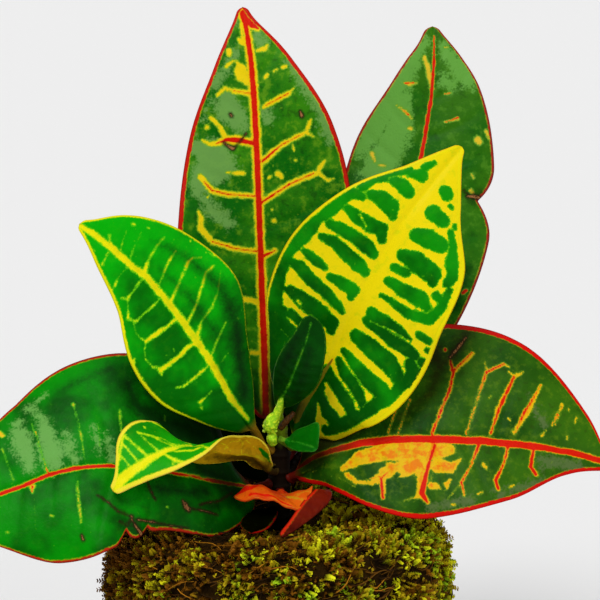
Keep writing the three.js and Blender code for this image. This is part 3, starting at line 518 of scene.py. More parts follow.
LEAF_MARKS["leaf_low_right"] = {
    "rim": [(1, 1.7), (1.8, 1.7), (2, 1.5), (1.9, 1.3), (1.5, 1.1)], "halo": 0.28,
    "blush": [
        [(290, 470, 0.7), (316, 457, 0.75), (341, 449, 0.9), (366, 443, 1.2), (394, 440, 1.35),
         (443, 440, 1.45), (484, 442, 1.35), (535, 447, 1.25), (575, 454, 1), (600, 461, 0.9),
         (616, 468, 0.7)],
        [(431, 434, 0.4), (449, 391, 0.4), (453, 373, 0.4), (450, 361, 0.3)],
        [(454, 372, 0.35), (471, 354, 0.25)], [(466, 434, 0.15), (486, 373, 0.35), (504, 364, 0.3)],
        [(491, 434, 0.25), (498, 410, 0.45), (513, 377, 0.45)],
        [(515, 434, 0.1), (524, 414, 0.4), (532, 402, 0.3), (540, 386, 0)],
        [(552, 425, 0), (557, 415, 0.15)], [(388, 434, 0), (396, 412, 0.1)],
        [(399, 433, 0), (410, 400, 0.1)],
        [(410, 446, -0.1), (394, 467, -0.1), (382, 479, 0.35), (384, 498, 0.45)],
        [(386, 449, -0.3), (366, 466, -0.35)], [(398, 452, -0.3), (384, 470, -0.3)],
        [(420, 450, -0.3), (404, 474, -0.3)], [(434, 470, -0.3), (430, 482, -0.3)],
        [(354, 462, -0.3), (346, 472, -0.25)], [(362, 482, -0.15), (380, 477, 0)],
        [(435, 446, 0.45), (427, 471, 0.55), (422, 494, 0.9), (427, 502, 0.4)],
        [(479, 446, 0.4), (470, 467, 0.15), (462, 483, 0.35), (464, 495, 0.1)],
        [(508, 446, 0.3), (504, 463, 0.25), (496, 481, 0.5), (498, 489, 0.3)],
        [(533, 450, 0.3), (530, 467, 0.6), (535, 475, 0.5)], [(445, 350, 0.35), (446, 352, 0.35)],
        [(555, 425, -0.1), (561, 407, 0)],
    ],
    "gold": [
        [(431, 434, 0.7), (449, 391, 0.65), (454, 373, 0.75), (473, 353, 0.7)],
        [(466, 433, 0.35), (486, 373, 0.7), (504, 364, 0.6), (508, 368, 0.2)],
        [(487, 372, 0.2), (485, 362, 0.1)],
        [(491, 434, 0.5), (497, 412, 0.8), (513, 377, 0.75), (523, 372, 0.4)],
        [(512, 376, 0.5), (509, 372, 0.35)], [(514, 434, 0.8), (529, 410, 0.95), (540, 385, 0.5)],
        [(551, 426, 0.45), (562, 405, 0.5)], [(388, 434, 0.15), (396, 412, 0.25)],
        [(399, 433, 0.2), (410, 400, 0.35)], [(489, 398, 0.3), (490, 397, 0.3)],
        [(508, 419, 0.35), (509, 421, 0.3)], [(568, 409, 0.3), (568, 411, 0.3)],
        [(542, 436, 0.5), (545, 431, 0.2)], [(566, 437, 0.5), (566, 440, 0.3)],
        [(575, 418, 0.3), (574, 424, 0.3)],
        [(344, 469, 1.2), (362, 458, 3), (384, 453, 3.4), (410, 451, 3.6), (432, 451, 3.4),
         (450, 450, 2.2)],
        [(348, 475, 1), (356, 483, 0.7), (372, 484, 0.9), (386, 474, 2.2), (406, 469, 3.2),
         (423, 465, 3.2)],
        [(437, 466, 2.8), (451, 468, 2), (460, 460, 0.4)],
        [(431, 487, 1.3), (445, 487, 1.2), (450, 480, 0.5)],
        [(390, 466, 1.5), (384, 480, 1.1), (384, 498, 0.8)],
        [(421, 470, 1), (421, 494, 1.4), (429, 502, 0.6)], [(405, 501, 0.15), (420, 496, 0.6)],
        [(479, 446, 0.7), (470, 467, 0.5), (462, 483, 0.7), (464, 496, 0.4)],
        [(462, 484, 0.3), (448, 499, 0.1)],
        [(508, 446, 0.6), (504, 463, 0.6), (496, 481, 0.9), (498, 490, 0.5)],
        [(533, 450, 0.5), (530, 467, 0.9), (536, 476, 0.7)], [(483, 466, 0.8), (486, 469, 0.6)],
        [(509, 488, 0.3), (514, 485, 0.3)], [(478, 494, 0.3), (482, 492, 0.3)],
        [(314, 472, -0.15), (346, 461, -0.1)], [(304, 474, -0.25), (328, 462, -0.2)],
        [(340, 478, -0.1), (356, 487, -0.1)], [(453, 505, 0.4), (455, 506, 0.3)],
    ],
    "islands": [
        [(360, 471, 1.3), (376, 472, 1.4)], [(391, 483, 1.2), (398, 475, 0.9)],
        [(439, 481, 1), (443, 489, 0.7)], [(410, 480, 0.6), (414, 476, 0.5)],
    ],
    "scar": [[(466, 338, 0.4), (459, 347, 0.55), (450, 358, 0.4)]],
    "bloom": [
        [(530, 400, 0), (545, 425, 1)], [(500, 495, 1.5), (540, 482, 1)],
        [(545, 462, 2), (578, 466, 1.5)], [(430, 508, 1), (470, 500, 1.5)],
    ],
    "dusk": [
        [(468, 332, 1.6), (459, 345, 2), (449, 359, 1.8), (438, 372, 1)],
        [(290, 458, 3), (310, 449, 4), (332, 438, 4.5), (358, 425, 3)],
        [(298, 467, 2.5), (318, 457, 2.8), (336, 450, 1.8), (354, 445, -0.4)],
        [(400, 420, 0), (430, 395, 1), (440, 370, 2), (434, 352, 3)],
    ],
}
LEAF_MARKS["leaf_twisted"] = {
    "rim": [(0.4, 0.4), (0.45, 0.4), (1.2, 0.6), (1.5, 1.5), (1.7, 1.6)], "turn": 0.53,
    "gold": [
        [(113, 490, 2.2), (118, 484, 1.8), (133, 471, 1.7), (153, 458, 1.4), (166, 451, 1.1),
         (191, 446, 0.6), (204, 443, 0.4), (216, 441, 0.4)],
        [(123, 437, 0.6), (120, 455, 0.5), (114, 478, 1.2)],
        [(153, 424, 0.5), (172, 433, 0.4), (190, 443, 0.3)], [(177, 429, -0.05), (197, 443, 0)],
        [(138, 433, 0), (162, 439, 0), (176, 446, 0.1)],
        [(138, 433, 0.15), (150, 437, 0.15), (173, 447, 0.2)],
        [(140, 435, 0), (148, 443, 0.1), (156, 451, 0.25)],
        [(124, 437, 0.5), (134, 446, 0.2), (147, 456, 0.35)],
        [(124, 446, 0.2), (132, 455, 0.15), (139, 464, 0.3)], [(122, 456, 0.1), (130, 467, 0.2)],
        [(117, 474, -0.05), (124, 476, 0.2)], [(144, 427, 0.2), (145, 429, 0.2)],
        [(163, 455, 0.3), (174, 461, 0.6), (182, 464, 0.5)],
        [(176, 452, 0.4), (190, 452, 0.5), (200, 449, 0.5)], [(149, 462, 0.5), (144, 470, 0.3)],
        [(174, 461, 0.4), (172, 468, 0.2)], [(124, 490, 1.2), (140, 482, 0.6), (160, 477, 0.3)],
    ],
    "foot_gold": [
        [(212, 450, 0.4), (236, 451, 0.4), (256, 453, 0.4), (268, 460, 0.4)],
        [(222, 449, 0.2), (232, 441, 0.25), (246, 440, 0.2), (256, 448, 0.2)],
        [(240, 450, 0.2), (243, 443, 0.25), (238, 438, 0.2)],
        [(230, 449, 0.2), (224, 443, 0.2), (214, 442, 0.2)],
    ],
    "foot_dusk": [[(214, 456, 1), (232, 457, 2.2), (250, 459, 2.8), (264, 464, 3)]],
    "foot_green": [[(260, 448, 0.5), (266, 454, 1), (272, 461, 1)]],
}
LEAF_MARKS["leaf_young_centre"] = {
    "rim": [(0.12, 0.12), (0.1, 0.1)],
    "gold": [
        [(272, 440, 1.2), (278, 405, 1.2), (281, 399, 0.7), (290, 383, 0.3), (299, 361, 0.2),
         (307, 340, 0.12), (311, 322, 0)],
    ],
    "dusk": [[(276, 385, 1), (285, 360, 2), (298, 335, 1)], [(310, 350, 1), (298, 395, 1)]],
}
LEAF_MARKS["leaf_young_right"] = {
    "rim": [(0.15, 0.12), (0.15, 0.12)],
    "gold": [[(274, 440, 0.4), (281, 439, 0.15), (298, 442, 0.1), (313, 447, 0)]],
    "dusk": [[(300, 447, -1), (312, 449, -1)], [(284, 436, -1.5), (300, 430, -1.5)]],
}
LEAF_MARKS["leaf_crinkled"] = {
    "rim": [(0.4, 0.4), (0.4, 0.4)],
    "gold": [
        [(262, 488, 0.2), (276, 491, 0.3), (290, 496, 0.7), (302, 498, 0.4)],
        [(286, 492, 0), (298, 494, 0.3), (308, 490, 0.2)],
    ],
    "blush": [
        [(226, 488, 1.8), (240, 492, 1.8), (252, 494, 0.9), (259, 487, 0.6)],
        [(250, 499, 0.5), (268, 500, 0.5), (286, 503, 0.3), (296, 508, 0.3)],
        [(262, 494, 0.2), (276, 497, 0.1)],
    ],
}
LEAF_MARKS["leaf_low_red"] = {
    "rim": [(-0.5, 0.9), (-0.5, 1)],
    "dusk": [[(330, 504, -1.5), (312, 518, -0.6), (296, 530, -0.5)]],
}
LEAF_MARKS["leaf_back_low"] = {
    "rim": [(0.5, 0.5), (0.5, 0.5)],
    "blush": [[(275, 470, 0.7), (262, 440, 0.7), (240, 405, 0.7), (215, 350, 0.6)]],
}
LEAF_MARKS["leaf_under"] = {
    "rim": [(0.3, 0.1), (0.4, 0.1)],
}

# ---------------------------------------------------------------- finishes

RED = (0.66, 0.01, 0.001)
ORANGE = (0.76, 0.2, 0.002)
SCAR_BROWN = (0.016, 0.008, 0.002)
SCAR_PALE = (0.36, 0.15, 0.05)
# Greyish green of the painted sheen on the leaves.
PAINTED_SHEEN = (0.15, 0.34, 0.07)
# Near black of the painted shade; the dark of the mottling uses it too.
PAINTED_SHADE = (0.001, 0.012, 0.001)
VEIN_SHADE = (0.1, 0.0, 0.0)
WORN_RIM = (0.06, 0.02, 0.01)
# Painted shade that darkens the blade's foot, where the leaves crowd round the stem.
FOOT_SHADE = (0.08, 0.12, 0.1)
PETIOLE_SHADE = (0.02, 0.012, 0.0)

# shade, light  the greens of the ground        lime   tissue beside the yellow
# gold, rim     yellow tissue and the margin    edge   the outermost line of the margin
# under         the underside                   foot   the petiole
# mottle        how mottled the ground is       wear   how worn the margin is
# gradient      painted light and shade: how much lighter the ground is painted from foot to tip
# fringe        millimetres over which the yellow gains its full colour
# flush         how much orange flushes the broad yellow patches
# deep          painted shade at the blade's foot: how dark, and the share of the blade it reaches
# gloss         share of the usual gloss
# blush         the veins, where they aren't of the usual red
# sheen, shade  colours of the painted sheen and the painted shade, where they aren't as in
# FINISH_DEFAULTS
FINISH_DEFAULTS = {"bloom": PAINTED_SHEEN, "dusk": PAINTED_SHADE, "flush": 0.0, "gloss": 1.0}

LEAF_FINISHES = {
    "leaf_back_centre": {
        "shade": (0.002, 0.12, 0.001), "light": (0.035, 0.22, 0.002), "lime": (0.2, 0.42, 0.01),
        "gold": (0.8, 0.6, 0.003), "rim": (0.54, 0.01, 0.003), "edge": (0.32, 0.012, 0.006),
        "under": (0.09, 0.06, 0.01), "foot": (0.09, 0.003, 0.002), "mottle": 0.4, "wear": 0.25,
        "fade": 0.0, "fringe": 0.5, "deep": (0.4, 0.3), "slot": "leaf_red_vein",
    },
    "leaf_back_right": {
        "shade": (0.006, 0.11, 0.001), "light": (0.03, 0.15, 0.002), "lime": (0.12, 0.34, 0.02),
        "gold": (0.72, 0.5, 0.02), "rim": (0.34, 0.02, 0.01), "edge": (0.2, 0.04, 0.03),
        "under": (0.07, 0.08, 0.015), "foot": (0.09, 0.003, 0.002), "mottle": 0.3, "wear": 0.7,
        "bloom": (0.13, 0.37, 0.05), "fade": 0.1, "fringe": 0.7, "deep": (0.6, 0.3),
        "slot": "leaf_red_vein",
    },
    "leaf_front_right": {
        "shade": (0.0, 0.085, 0.0), "light": (0.004, 0.27, 0.001), "lime": (0.1, 0.5, 0.002),
        "gold": (0.82, 0.66, 0.001), "rim": (0.8, 0.68, 0.001), "edge": (0.7, 0.34, 0.006),
        "under": (0.22, 0.3, 0.03), "foot": (0.11, 0.1, 0.002), "mottle": 0.06, "wear": 0.0,
        "blush": (0.2, 0.17, 0.004), "fade": 0.45, "fringe": 0.25, "deep": (0.6, 0.26),
        "slot": "leaf_yellow_vein",
    },
    "leaf_mid_left": {
        "shade": (0.0, 0.14, 0.0), "light": (0.001, 0.42, 0.001), "lime": (0.13, 0.62, 0.004),
        "gold": (0.84, 0.77, 0.001), "rim": (0.78, 0.76, 0.003), "edge": (0.66, 0.48, 0.006),
        "under": (0.2, 0.28, 0.03), "foot": (0.28, 0.14, 0.006), "mottle": 0.04, "wear": 0.0,
        "fade": 0.5, "fringe": 0.5, "deep": (0.4, 0.3), "slot": "leaf_yellow_vein",
    },
    "leaf_low_left": {
        "shade": (0.0, 0.07, 0.0), "light": (0.0, 0.25, 0.0), "lime": (0.07, 0.42, 0.005),
        "gold": (0.75, 0.5, 0.008), "rim": (0.45, 0.02, 0.003), "edge": (0.12, 0.014, 0.006),
        "under": (0.09, 0.05, 0.01), "foot": (0.06, 0.003, 0.002), "mottle": 0.06, "wear": 0.6,
        "bloom": (0.15, 0.4, 0.075), "fade": 0.35, "fringe": 0.7, "deep": (0.2, 0.34),
        "slot": "leaf_red_vein",
    },
    "leaf_low_right": {
        "shade": (0.008, 0.06, 0.001), "light": (0.032, 0.125, 0.002), "lime": (0.14, 0.26, 0.006),
        "gold": (0.74, 0.45, 0.002), "rim": (0.6, 0.004, 0.001), "edge": (0.45, 0.004, 0.002),
        "under": (0.12, 0.04, 0.01), "foot": (0.1, 0.004, 0.002), "mottle": 0.3, "wear": 0.1,
        "bloom": (0.09, 0.145, 0.04), "dusk": (0.014, 0.012, 0.001), "fade": 0.15, "fringe": 0.3,
        "flush": 1.0, "deep": (0.25, 0.16), "slot": "leaf_red_vein",
    },
    "leaf_twisted": {
        "shade": (0.002, 0.2, 0.001), "light": (0.01, 0.36, 0.002), "lime": (0.3, 0.66, 0.004),
        "gold": (0.82, 0.78, 0.006), "rim": (0.84, 0.72, 0.03), "edge": (0.75, 0.5, 0.1),
        "under": (0.62, 0.36, 0.004), "foot": (0.05, 0.03, 0.005), "mottle": 0.04, "wear": 0.0,
        "dusk": (0.008, 0.01, 0.001), "fade": 0.4, "fringe": 0.6, "deep": (0.0, 0.2),
        "slot": "leaf_yellow_vein",
    },
    # Painted shade: its greens are dark for the shade at the plant's centre.
    "leaf_young_centre": {
        "shade": (0.0, 0.04, 0.0), "light": (0.001, 0.075, 0.001), "lime": (0.02, 0.2, 0.003),
        "gold": (0.12, 0.42, 0.01), "rim": (0.004, 0.1, 0.002), "edge": (0.002, 0.06, 0.002),
        "under": (0.02, 0.1, 0.005), "foot": (0.42, 0.66, 0.01), "mottle": 0.05, "wear": 0.0,
        "fade": 0.0, "fringe": 0.4, "deep": (0.3, 0.2), "slot": "leaf_young",
    },
    "leaf_young_right": {
        "shade": (0.001, 0.1, 0.001), "light": (0.001, 0.16, 0.001), "lime": (0.03, 0.28, 0.01),
        "gold": (0.06, 0.36, 0.02), "rim": (0.03, 0.28, 0.02), "edge": (0.05, 0.3, 0.04),
        "under": (0.03, 0.2, 0.01), "foot": (0.2, 0.4, 0.02), "mottle": 0.1, "wear": 0.0,
        "fade": 0.0, "fringe": 0.4, "deep": (0.0, 0.2), "slot": "leaf_young",
    },
    "leaf_crinkled": {
        "shade": (0.58, 0.02, 0.002), "light": (0.72, 0.11, 0.003), "lime": (0.62, 0.2, 0.006),
        "gold": (0.5, 0.32, 0.006), "rim": (0.6, 0.04, 0.004), "edge": (0.6, 0.1, 0.006),
        "under": (0.3, 0.012, 0.002), "foot": (0.12, 0.004, 0.003), "mottle": 0.4, "wear": 0.3,
        "dusk": (0.2, 0.008, 0.002), "fade": 0.2, "fringe": 0.6, "deep": (0.2, 0.3),
        "slot": "leaf_red",
    },
    "leaf_low_red": {
        "shade": (0.07, 0.002, 0.001), "light": (0.17, 0.009, 0.002), "lime": (0.3, 0.05, 0.004),
        "gold": (0.5, 0.14, 0.006), "rim": (0.62, 0.02, 0.003), "edge": (0.14, 0.003, 0.002),
        "under": (0.1, 0.004, 0.002), "foot": (0.06, 0.005, 0.002), "mottle": 0.2, "wear": 0.1,
        "dusk": (0.015, 0.003, 0.001), "fade": -0.5, "fringe": 0.6, "deep": (0.0, 0.2),
        "slot": "leaf_red",
    },
    # Painted shade: near-black colours, standing for the deep shade behind the stem.
    "leaf_back_low": {
        "shade": (0.001, 0.004, 0.0), "light": (0.008, 0.012, 0.0), "lime": (0.02, 0.03, 0.002),
        "gold": (0.2, 0.1, 0.005), "rim": (0.04, 0.003, 0.002), "edge": (0.03, 0.003, 0.002),
        "under": (0.005, 0.008, 0.001), "foot": (0.006, 0.003, 0.001), "mottle": 0.2, "wear": 0.3,
        "gloss": 0.0, "fade": 0.4, "fringe": 0.4, "deep": (0.7, 0.4), "slot": "leaf_red_vein",
    },
    # Painted shade: near black but for the red rim, for the shade under the low leaves.
    "leaf_under": {
        "shade": (0.001, 0.001, 0.0), "light": (0.002, 0.003, 0.0), "lime": (0.01, 0.02, 0.002),
        "gold": (0.2, 0.1, 0.005), "rim": (0.3, 0.004, 0.002), "edge": (0.35, 0.005, 0.002),
        "under": (0.003, 0.001, 0.0), "foot": (0.002, 0.001, 0.0), "mottle": 0.1, "wear": 0.0,
        "gloss": 0.0, "fade": 0.0, "fringe": 0.4, "deep": (0.9, 0.8), "slot": "leaf_red_vein",
    },
}


# ---------------------------------------------------------------- curves


def curve_at(rows, parameter):
    """Points and tangents of the smooth curve through the rows, at parameters from 0 to 1."""
    rows = np.asarray(rows, float)
    ends = np.vstack([2 * rows[0] - rows[1], rows, 2 * rows[-1] - rows[-2]])
    place = np.asarray(parameter, float) * (len(rows) - 1)
    first = np.clip(place.astype(int), 0, len(rows) - 2)
    t = (place - first)[..., None]
    before, start, end, after = (ends[first + step] for step in range(4))
    leaving, arriving = (end - before) / 2, (after - start) / 2
    cubic = 2 * start - 2 * end + leaving + arriving
    square = -3 * start + 3 * end - 2 * leaving - arriving
    point = ((cubic * t + square) * t + leaving) * t + start
    tangent = (3 * cubic * t + 2 * square) * t + leaving
    return point, tangent


def by_length(rows, share):
    """Curve parameters at which these shares of the curve's length lie."""
    samples = np.linspace(0, 1, 801)
    points = curve_at(rows, samples)[0]
    steps = np.linalg.norm(np.diff(points, axis=0), axis=1)
    length = np.concatenate([[0], np.cumsum(steps)])
    return np.interp(np.asarray(share) * length[-1], length, samples), length[-1]


def unit(vectors):
    return vectors / np.linalg.norm(vectors, axis=-1, keepdims=True)


# ---------------------------------------------------------------- mesh helpers

WELD_DISTANCE = 1.5e-6  # metres between points of a leaf that count as one


def placed(name, data):
    """A new object in the scene that carries the data."""
    made = bpy.data.objects.new(name, data)
    bpy.context.scene.collection.objects.link(made)
    return made


def mesh_of(name, shape):
    """A mesh made from the bmesh, which is then freed."""
    mesh = bpy.data.meshes.new(name)
    shape.to_mesh(mesh)
    shape.free()
    return mesh


def vertex_array(mesh):
    flat = np.empty(len(mesh.vertices) * 3)
    mesh.vertices.foreach_get("co", flat)
    return flat.reshape(-1, 3)


def set_vertices(mesh, positions):
    mesh.vertices.foreach_set("co", positions.astype(np.float32).ravel())
    mesh.update()


def set_field(mesh, key, values):
    attribute = mesh.attributes.new(key, "FLOAT", "POINT")
    attribute.data.foreach_set("value", values.astype(np.float32))


# ---------------------------------------------------------------- leaf geometry

# Depth in the stem, in millimetres, and size as a share of the petiole's.
FOOT_RINGS = ((1.3, 0.0), (1.2, 1.25), (0.7, 1.3), (0.35, 1.12))


class Blade:
    """Middle surface of a leaf on a grid of rows (foot to tip) and columns (left to right)."""

    def __init__(self, shape, step):
        self.shape = shape
        length = by_length(shape["spine"], 0.0)[1]
        petiole = shape["petiole"]
        petiole_rows = max(4, round(length * petiole / step))
        blade_rows = round(length * (1 - petiole) / step)
        on_petiole = np.linspace(0, petiole, petiole_rows, endpoint=False)
        on_blade = petiole + (1 - petiole) * np.linspace(0, 1, blade_rows + 1)
        self.reach = np.concatenate([on_petiole, on_blade])
        widest = max(left + right for left, right in shape["widths"])
        self.half_columns = max(6, round(widest / 2 / step))
        self.share = np.linspace(-1, 1, 2 * self.half_columns + 1)
        self._frame()
        self._surface()

    def _frame(self):
        shape = self.shape
        parameter = by_length(shape["spine"], self.reach)[0]
        self.point, tangent = curve_at(shape["spine"], parameter)
        tangent = unit(tangent)
        petiole = shape["petiole"]
        self.along = np.clip((self.reach - petiole) / (1 - petiole), 0, 1)
        face = curve_at(shape["face"], self.along)[0]
        face -= (face * tangent).sum(-1, keepdims=True) * tangent
        self.tangent = tangent
        self.face = unit(face)
        self.side = np.cross(tangent, self.face)
        crowded = np.arccos(1 - 2 * self.along) / math.pi
        self.width = curve_at(shape["widths"], crowded)[0]
        for edge, place, half_length, depth in shape.get("nicks", []):
            column = 0 if edge == "left" else 1
            near = np.clip(1 - np.abs(self.along - place) / half_length, 0, 1)
            self.width[:, column] *= 1 - depth * near * near
        rounding = np.clip((1 - self.along) / TIP_ROUNDING, 0, 1)
        self.width *= np.sqrt(rounding * (2 - rounding))[:, None]

    def _surface(self):
        shape, share = self.shape, self.share[None, :]
        size = np.abs(share)
        along = self.along[:, None]
        width = np.where(share < 0, self.width[:, :1], self.width[:, 1:])
        height, count, phase = shape["wave"]
        turn = 2 * math.pi * count * along + phase + np.where(share > 0, MARGIN_SHIFT, 0.0)
        rise = width * size * (shape["fold"] - shape["droop"] * size)
        rise += height * size**2 * np.sin(turn) * np.sin(math.pi * along)
        rise = np.where(along > 0, rise, 0.0)
        self.across = share * width
        self.local_width = width
        self.middle = (
            self.point[:, None]
            + self.side[:, None] * self.across[..., None]
            + self.face[:, None] * rise[..., None]
        ) * MM

    def place(self, pixel, window):
        """Point of the middle surface that the photograph shows at this pixel."""
        rows = np.flatnonzero((self.along >= window[0]) & (self.along <= window[1]))
        gap = np.linalg.norm(photo_pixels(self.middle[rows]) - np.array(pixel), axis=-1)
        row, column = np.unravel_index(gap.argmin(), gap.shape)
        return self.middle[rows[row], column]

    def distance_to(self, strokes, window=(0.0, 1.0)):
        """Distance in millimetres from each grid point to the strokes' edges, softly joined."""
        gathered = np.full(self.middle.shape[:2], -FAR / JOIN)
        for stroke in strokes:
            places = [self.place(mark[:2], window) for mark in stroke]
            radii = [mark[2] for mark in stroke]
            nearest = np.full(gathered.shape, FAR)
            for i in range(len(stroke) - 1):
                span = places[i + 1] - places[i]
                offset = self.middle - places[i]
                t = np.clip((offset @ span) / max(span @ span, 1e-12), 0, 1)
                gap = np.linalg.norm(offset - t[..., None] * span, axis=-1) / MM
                radius = radii[i] + (radii[i + 1] - radii[i]) * t
                nearest = np.minimum(nearest, gap - radius)
            gathered = np.logaddexp(gathered, -nearest / JOIN)
        return -JOIN * gathered

    def lateral_distance(self, pairs):
        """Distance in millimetres from each grid point to evenly set side veins."""
        lean = 0.09 * np.abs(self.share[None, :]) ** 1.3
        place = (self.along[:, None] - lean) * pairs
        length = by_length(self.shape["spine"], 0.0)[1]
        return np.abs(place - np.round(place)) * length / pairs


def grid_order(mesh, rows, columns):
    """Row and column of each vertex of a fresh grid."""
    corners = vertex_array(mesh)
    column = np.rint((corners[:, 0] + 1) / 2 * columns).astype(int)
    row = np.rint((corners[:, 1] + 1) / 2 * rows).astype(int)
    return row, column


def grid_piece(name, positions, values):
    """A grid moved to the positions (rows, columns, 3), welded where its edges meet."""
    rows, columns = positions.shape[0] - 1, positions.shape[1] - 1
    grid = bmesh.new()
    bmesh.ops.create_grid(grid, x_segments=columns, y_segments=rows, size=1)
    mesh = mesh_of(name, grid)
    row, column = grid_order(mesh, rows, columns)
    mesh.vertices.foreach_set("co", positions[row, column].astype(np.float32).ravel())
    for key, field in values.items():
        set_field(mesh, key, field[row, column])
    welded = bmesh.new()
    welded.from_mesh(mesh)
    bmesh.ops.remove_doubles(welded, verts=welded.verts, dist=WELD_DISTANCE)
    bmesh.ops.recalc_face_normals(welded, faces=welded.faces)
    welded.to_mesh(mesh)
    welded.free()
    mesh.shade_smooth()
    return placed(name, mesh)


def leaf_fields(blade, marks):
    """Distances in millimetres that the leaf's colours are drawn from."""
    turn = marks.get("turn", 0.0)
    fields = {}
    for kind in ("gold", "blush", "scar", "bloom", "dusk"):
        beyond = blade.distance_to(marks.get(kind, []), (turn, 1.0))
        before = blade.distance_to(marks.get("foot_" + kind, []), (0.0, turn))
        fields[kind] = np.minimum(beyond, before)
    if "cells" in marks:
        ground = marks["growth"] - blade.distance_to(marks["cells"], (turn, 1.0))
        ground = np.where(blade.along[:, None] > turn, ground, FAR)
        fields["gold"] = np.minimum(fields["gold"], ground)
    if "islands" in marks:
        fields["gold"] = np.maximum(fields["gold"], -blade.distance_to(marks["islands"]))
    if "halo" in marks:
        fields["gold"] = np.minimum(fields["gold"], fields["blush"] - marks["halo"])
    edge = blade.local_width * (1 - np.abs(blade.share[None, :]))
    rim = curve_at(marks["rim"], blade.along)[0]
    rim = np.where(blade.share[None, :] < 0, rim[:, :1], rim[:, 1:])
    on_blade = blade.along[:, None] > 0
    push = np.clip(EDGE_PUSH - 3 * rim, 0, EDGE_PUSH)
    fields["edge"] = np.where(on_blade, edge + push, FAR)
    fields["margin"] = np.where(on_blade, edge - rim, FAR)
    fields["foot"] = np.clip(1 - blade.along[:, None] / FOOT_SHARE, 0, 1) * np.ones_like(edge)
    fields["along"] = blade.along[:, None] * np.ones_like(edge)
    return fields


def leaf_relief(blade, marks, fields):
    """Height in millimetres of the quilting, the midrib's groove and the creases."""
    if "cells" in marks:
        vein = np.clip(fields["gold"] + 0.8, 0, 3)
    else:
        vein = blade.lateral_distance(SIDE_VEINS)
    quilt = QUILT_HEIGHT * (1 - np.exp(-((vein / QUILT_SLOPE) ** 2)))
    groove = -GROOVE_DEPTH * np.exp(-((blade.across / GROOVE_WIDTH) ** 2))
    spread = np.clip(blade.along * 8, 0, 1)[:, None]
    crumple = blade.shape.get("crumple", 0.0)
    creases = np.sin(0.26 * blade.across - 1.05) + 0.25 * np.sin(1.1 * blade.across)
    groove = groove + crumple * creases * (0.3 + np.abs(blade.share))
    calm = np.sqrt(np.clip(1 - np.abs(blade.share[None, :]), 0, 1))
    return (quilt * calm + groove) * spread


def build_leaf(name, settings):
    """The leaf of that name, with two skins that meet at its margin and a foot in the stem."""
    shape, marks = LEAF_SHAPES[name], LEAF_MARKS[name]
    blade = Blade(shape, settings.grain / MM)
    fields = leaf_fields(blade, marks)
    relief = leaf_relief(blade, marks, fields)
    radius = PETIOLE_RADIUS + (RIB_TIP_RADIUS - PETIOLE_RADIUS) * blade.reach
    radius = radius * np.sqrt(np.clip((1 - blade.along) / TIP_ROUNDING, 0, 1))
    rib = np.sqrt(np.clip(radius[:, None] ** 2 - blade.across**2, 0, None))
    tip = np.sqrt(np.clip((1 - blade.along) / TIP_THINNING, 0, 1))[:, None]
    body = settings.blade_thickness / MM / 2 * np.sqrt(1 - blade.share[None, :] ** 8) * tip
    round_top = np.clip(1 - 6 * blade.along, 0, 1)[:, None]
    face = blade.face[:, None] * MM
    upper = blade.middle + face * (body + rib * round_top + relief)[..., None]
    lower = blade.middle + face * (relief - body - rib)[..., None]
    positions = both_skins(upper, lower)
    foot = seated_foot(blade, positions)
    positions = np.concatenate([foot, positions], axis=0)
    values = {"under": underside_field(blade, marks, len(foot))}
    for key, field in fields.items():
        both = both_skins(field, field)
        values[key] = np.concatenate([both[:1].repeat(len(foot), axis=0), both], axis=0)
    piece = grid_piece(name + "_skin", positions, values)
    piece.data.materials.append(leaf_material(name))
    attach(piece, "root")
    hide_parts(name)
    return piece


def both_skins(upper, lower):
    """Columns of the upper skin from left to right, and then back along the lower one."""
    return np.concatenate([upper, lower[:, -2::-1]], axis=1)


def underside_field(blade, marks, rings):
    """1 on the lower skin, 0 on the upper one and under foot_green, behind the foot's rings."""
    columns = len(blade.share)
    field = np.zeros((rings + len(blade.along), 2 * columns - 1))
    field[:, columns:] = 1
    field[:, 0] = field[:, -1] = field[:, columns - 1] = 0.5
    green = blade.distance_to(marks.get("foot_green", []), (0.0, marks.get("turn", 0.0))) < 0
    field[rings:][both_skins(green, green)] = 0
    return field


def seated_foot(blade, positions):
    """Rings that swell the petiole's foot and seat it on the stem, closed by a point."""
    centre = blade.point[0] * MM
    back = -blade.tangent[0] * MM
    ring = positions[0] - centre
    return np.array([centre + back * depth + ring * size for depth, size in FOOT_RINGS])


# ---------------------------------------------------------------- node helpers


def new_material(name):
    """A material with its wires and its shader."""
    material = bpy.data.materials.new(name)
    material.use_nodes = True
    tree = material.node_tree
    return material, Wires(tree), tree.nodes["Principled BSDF"]


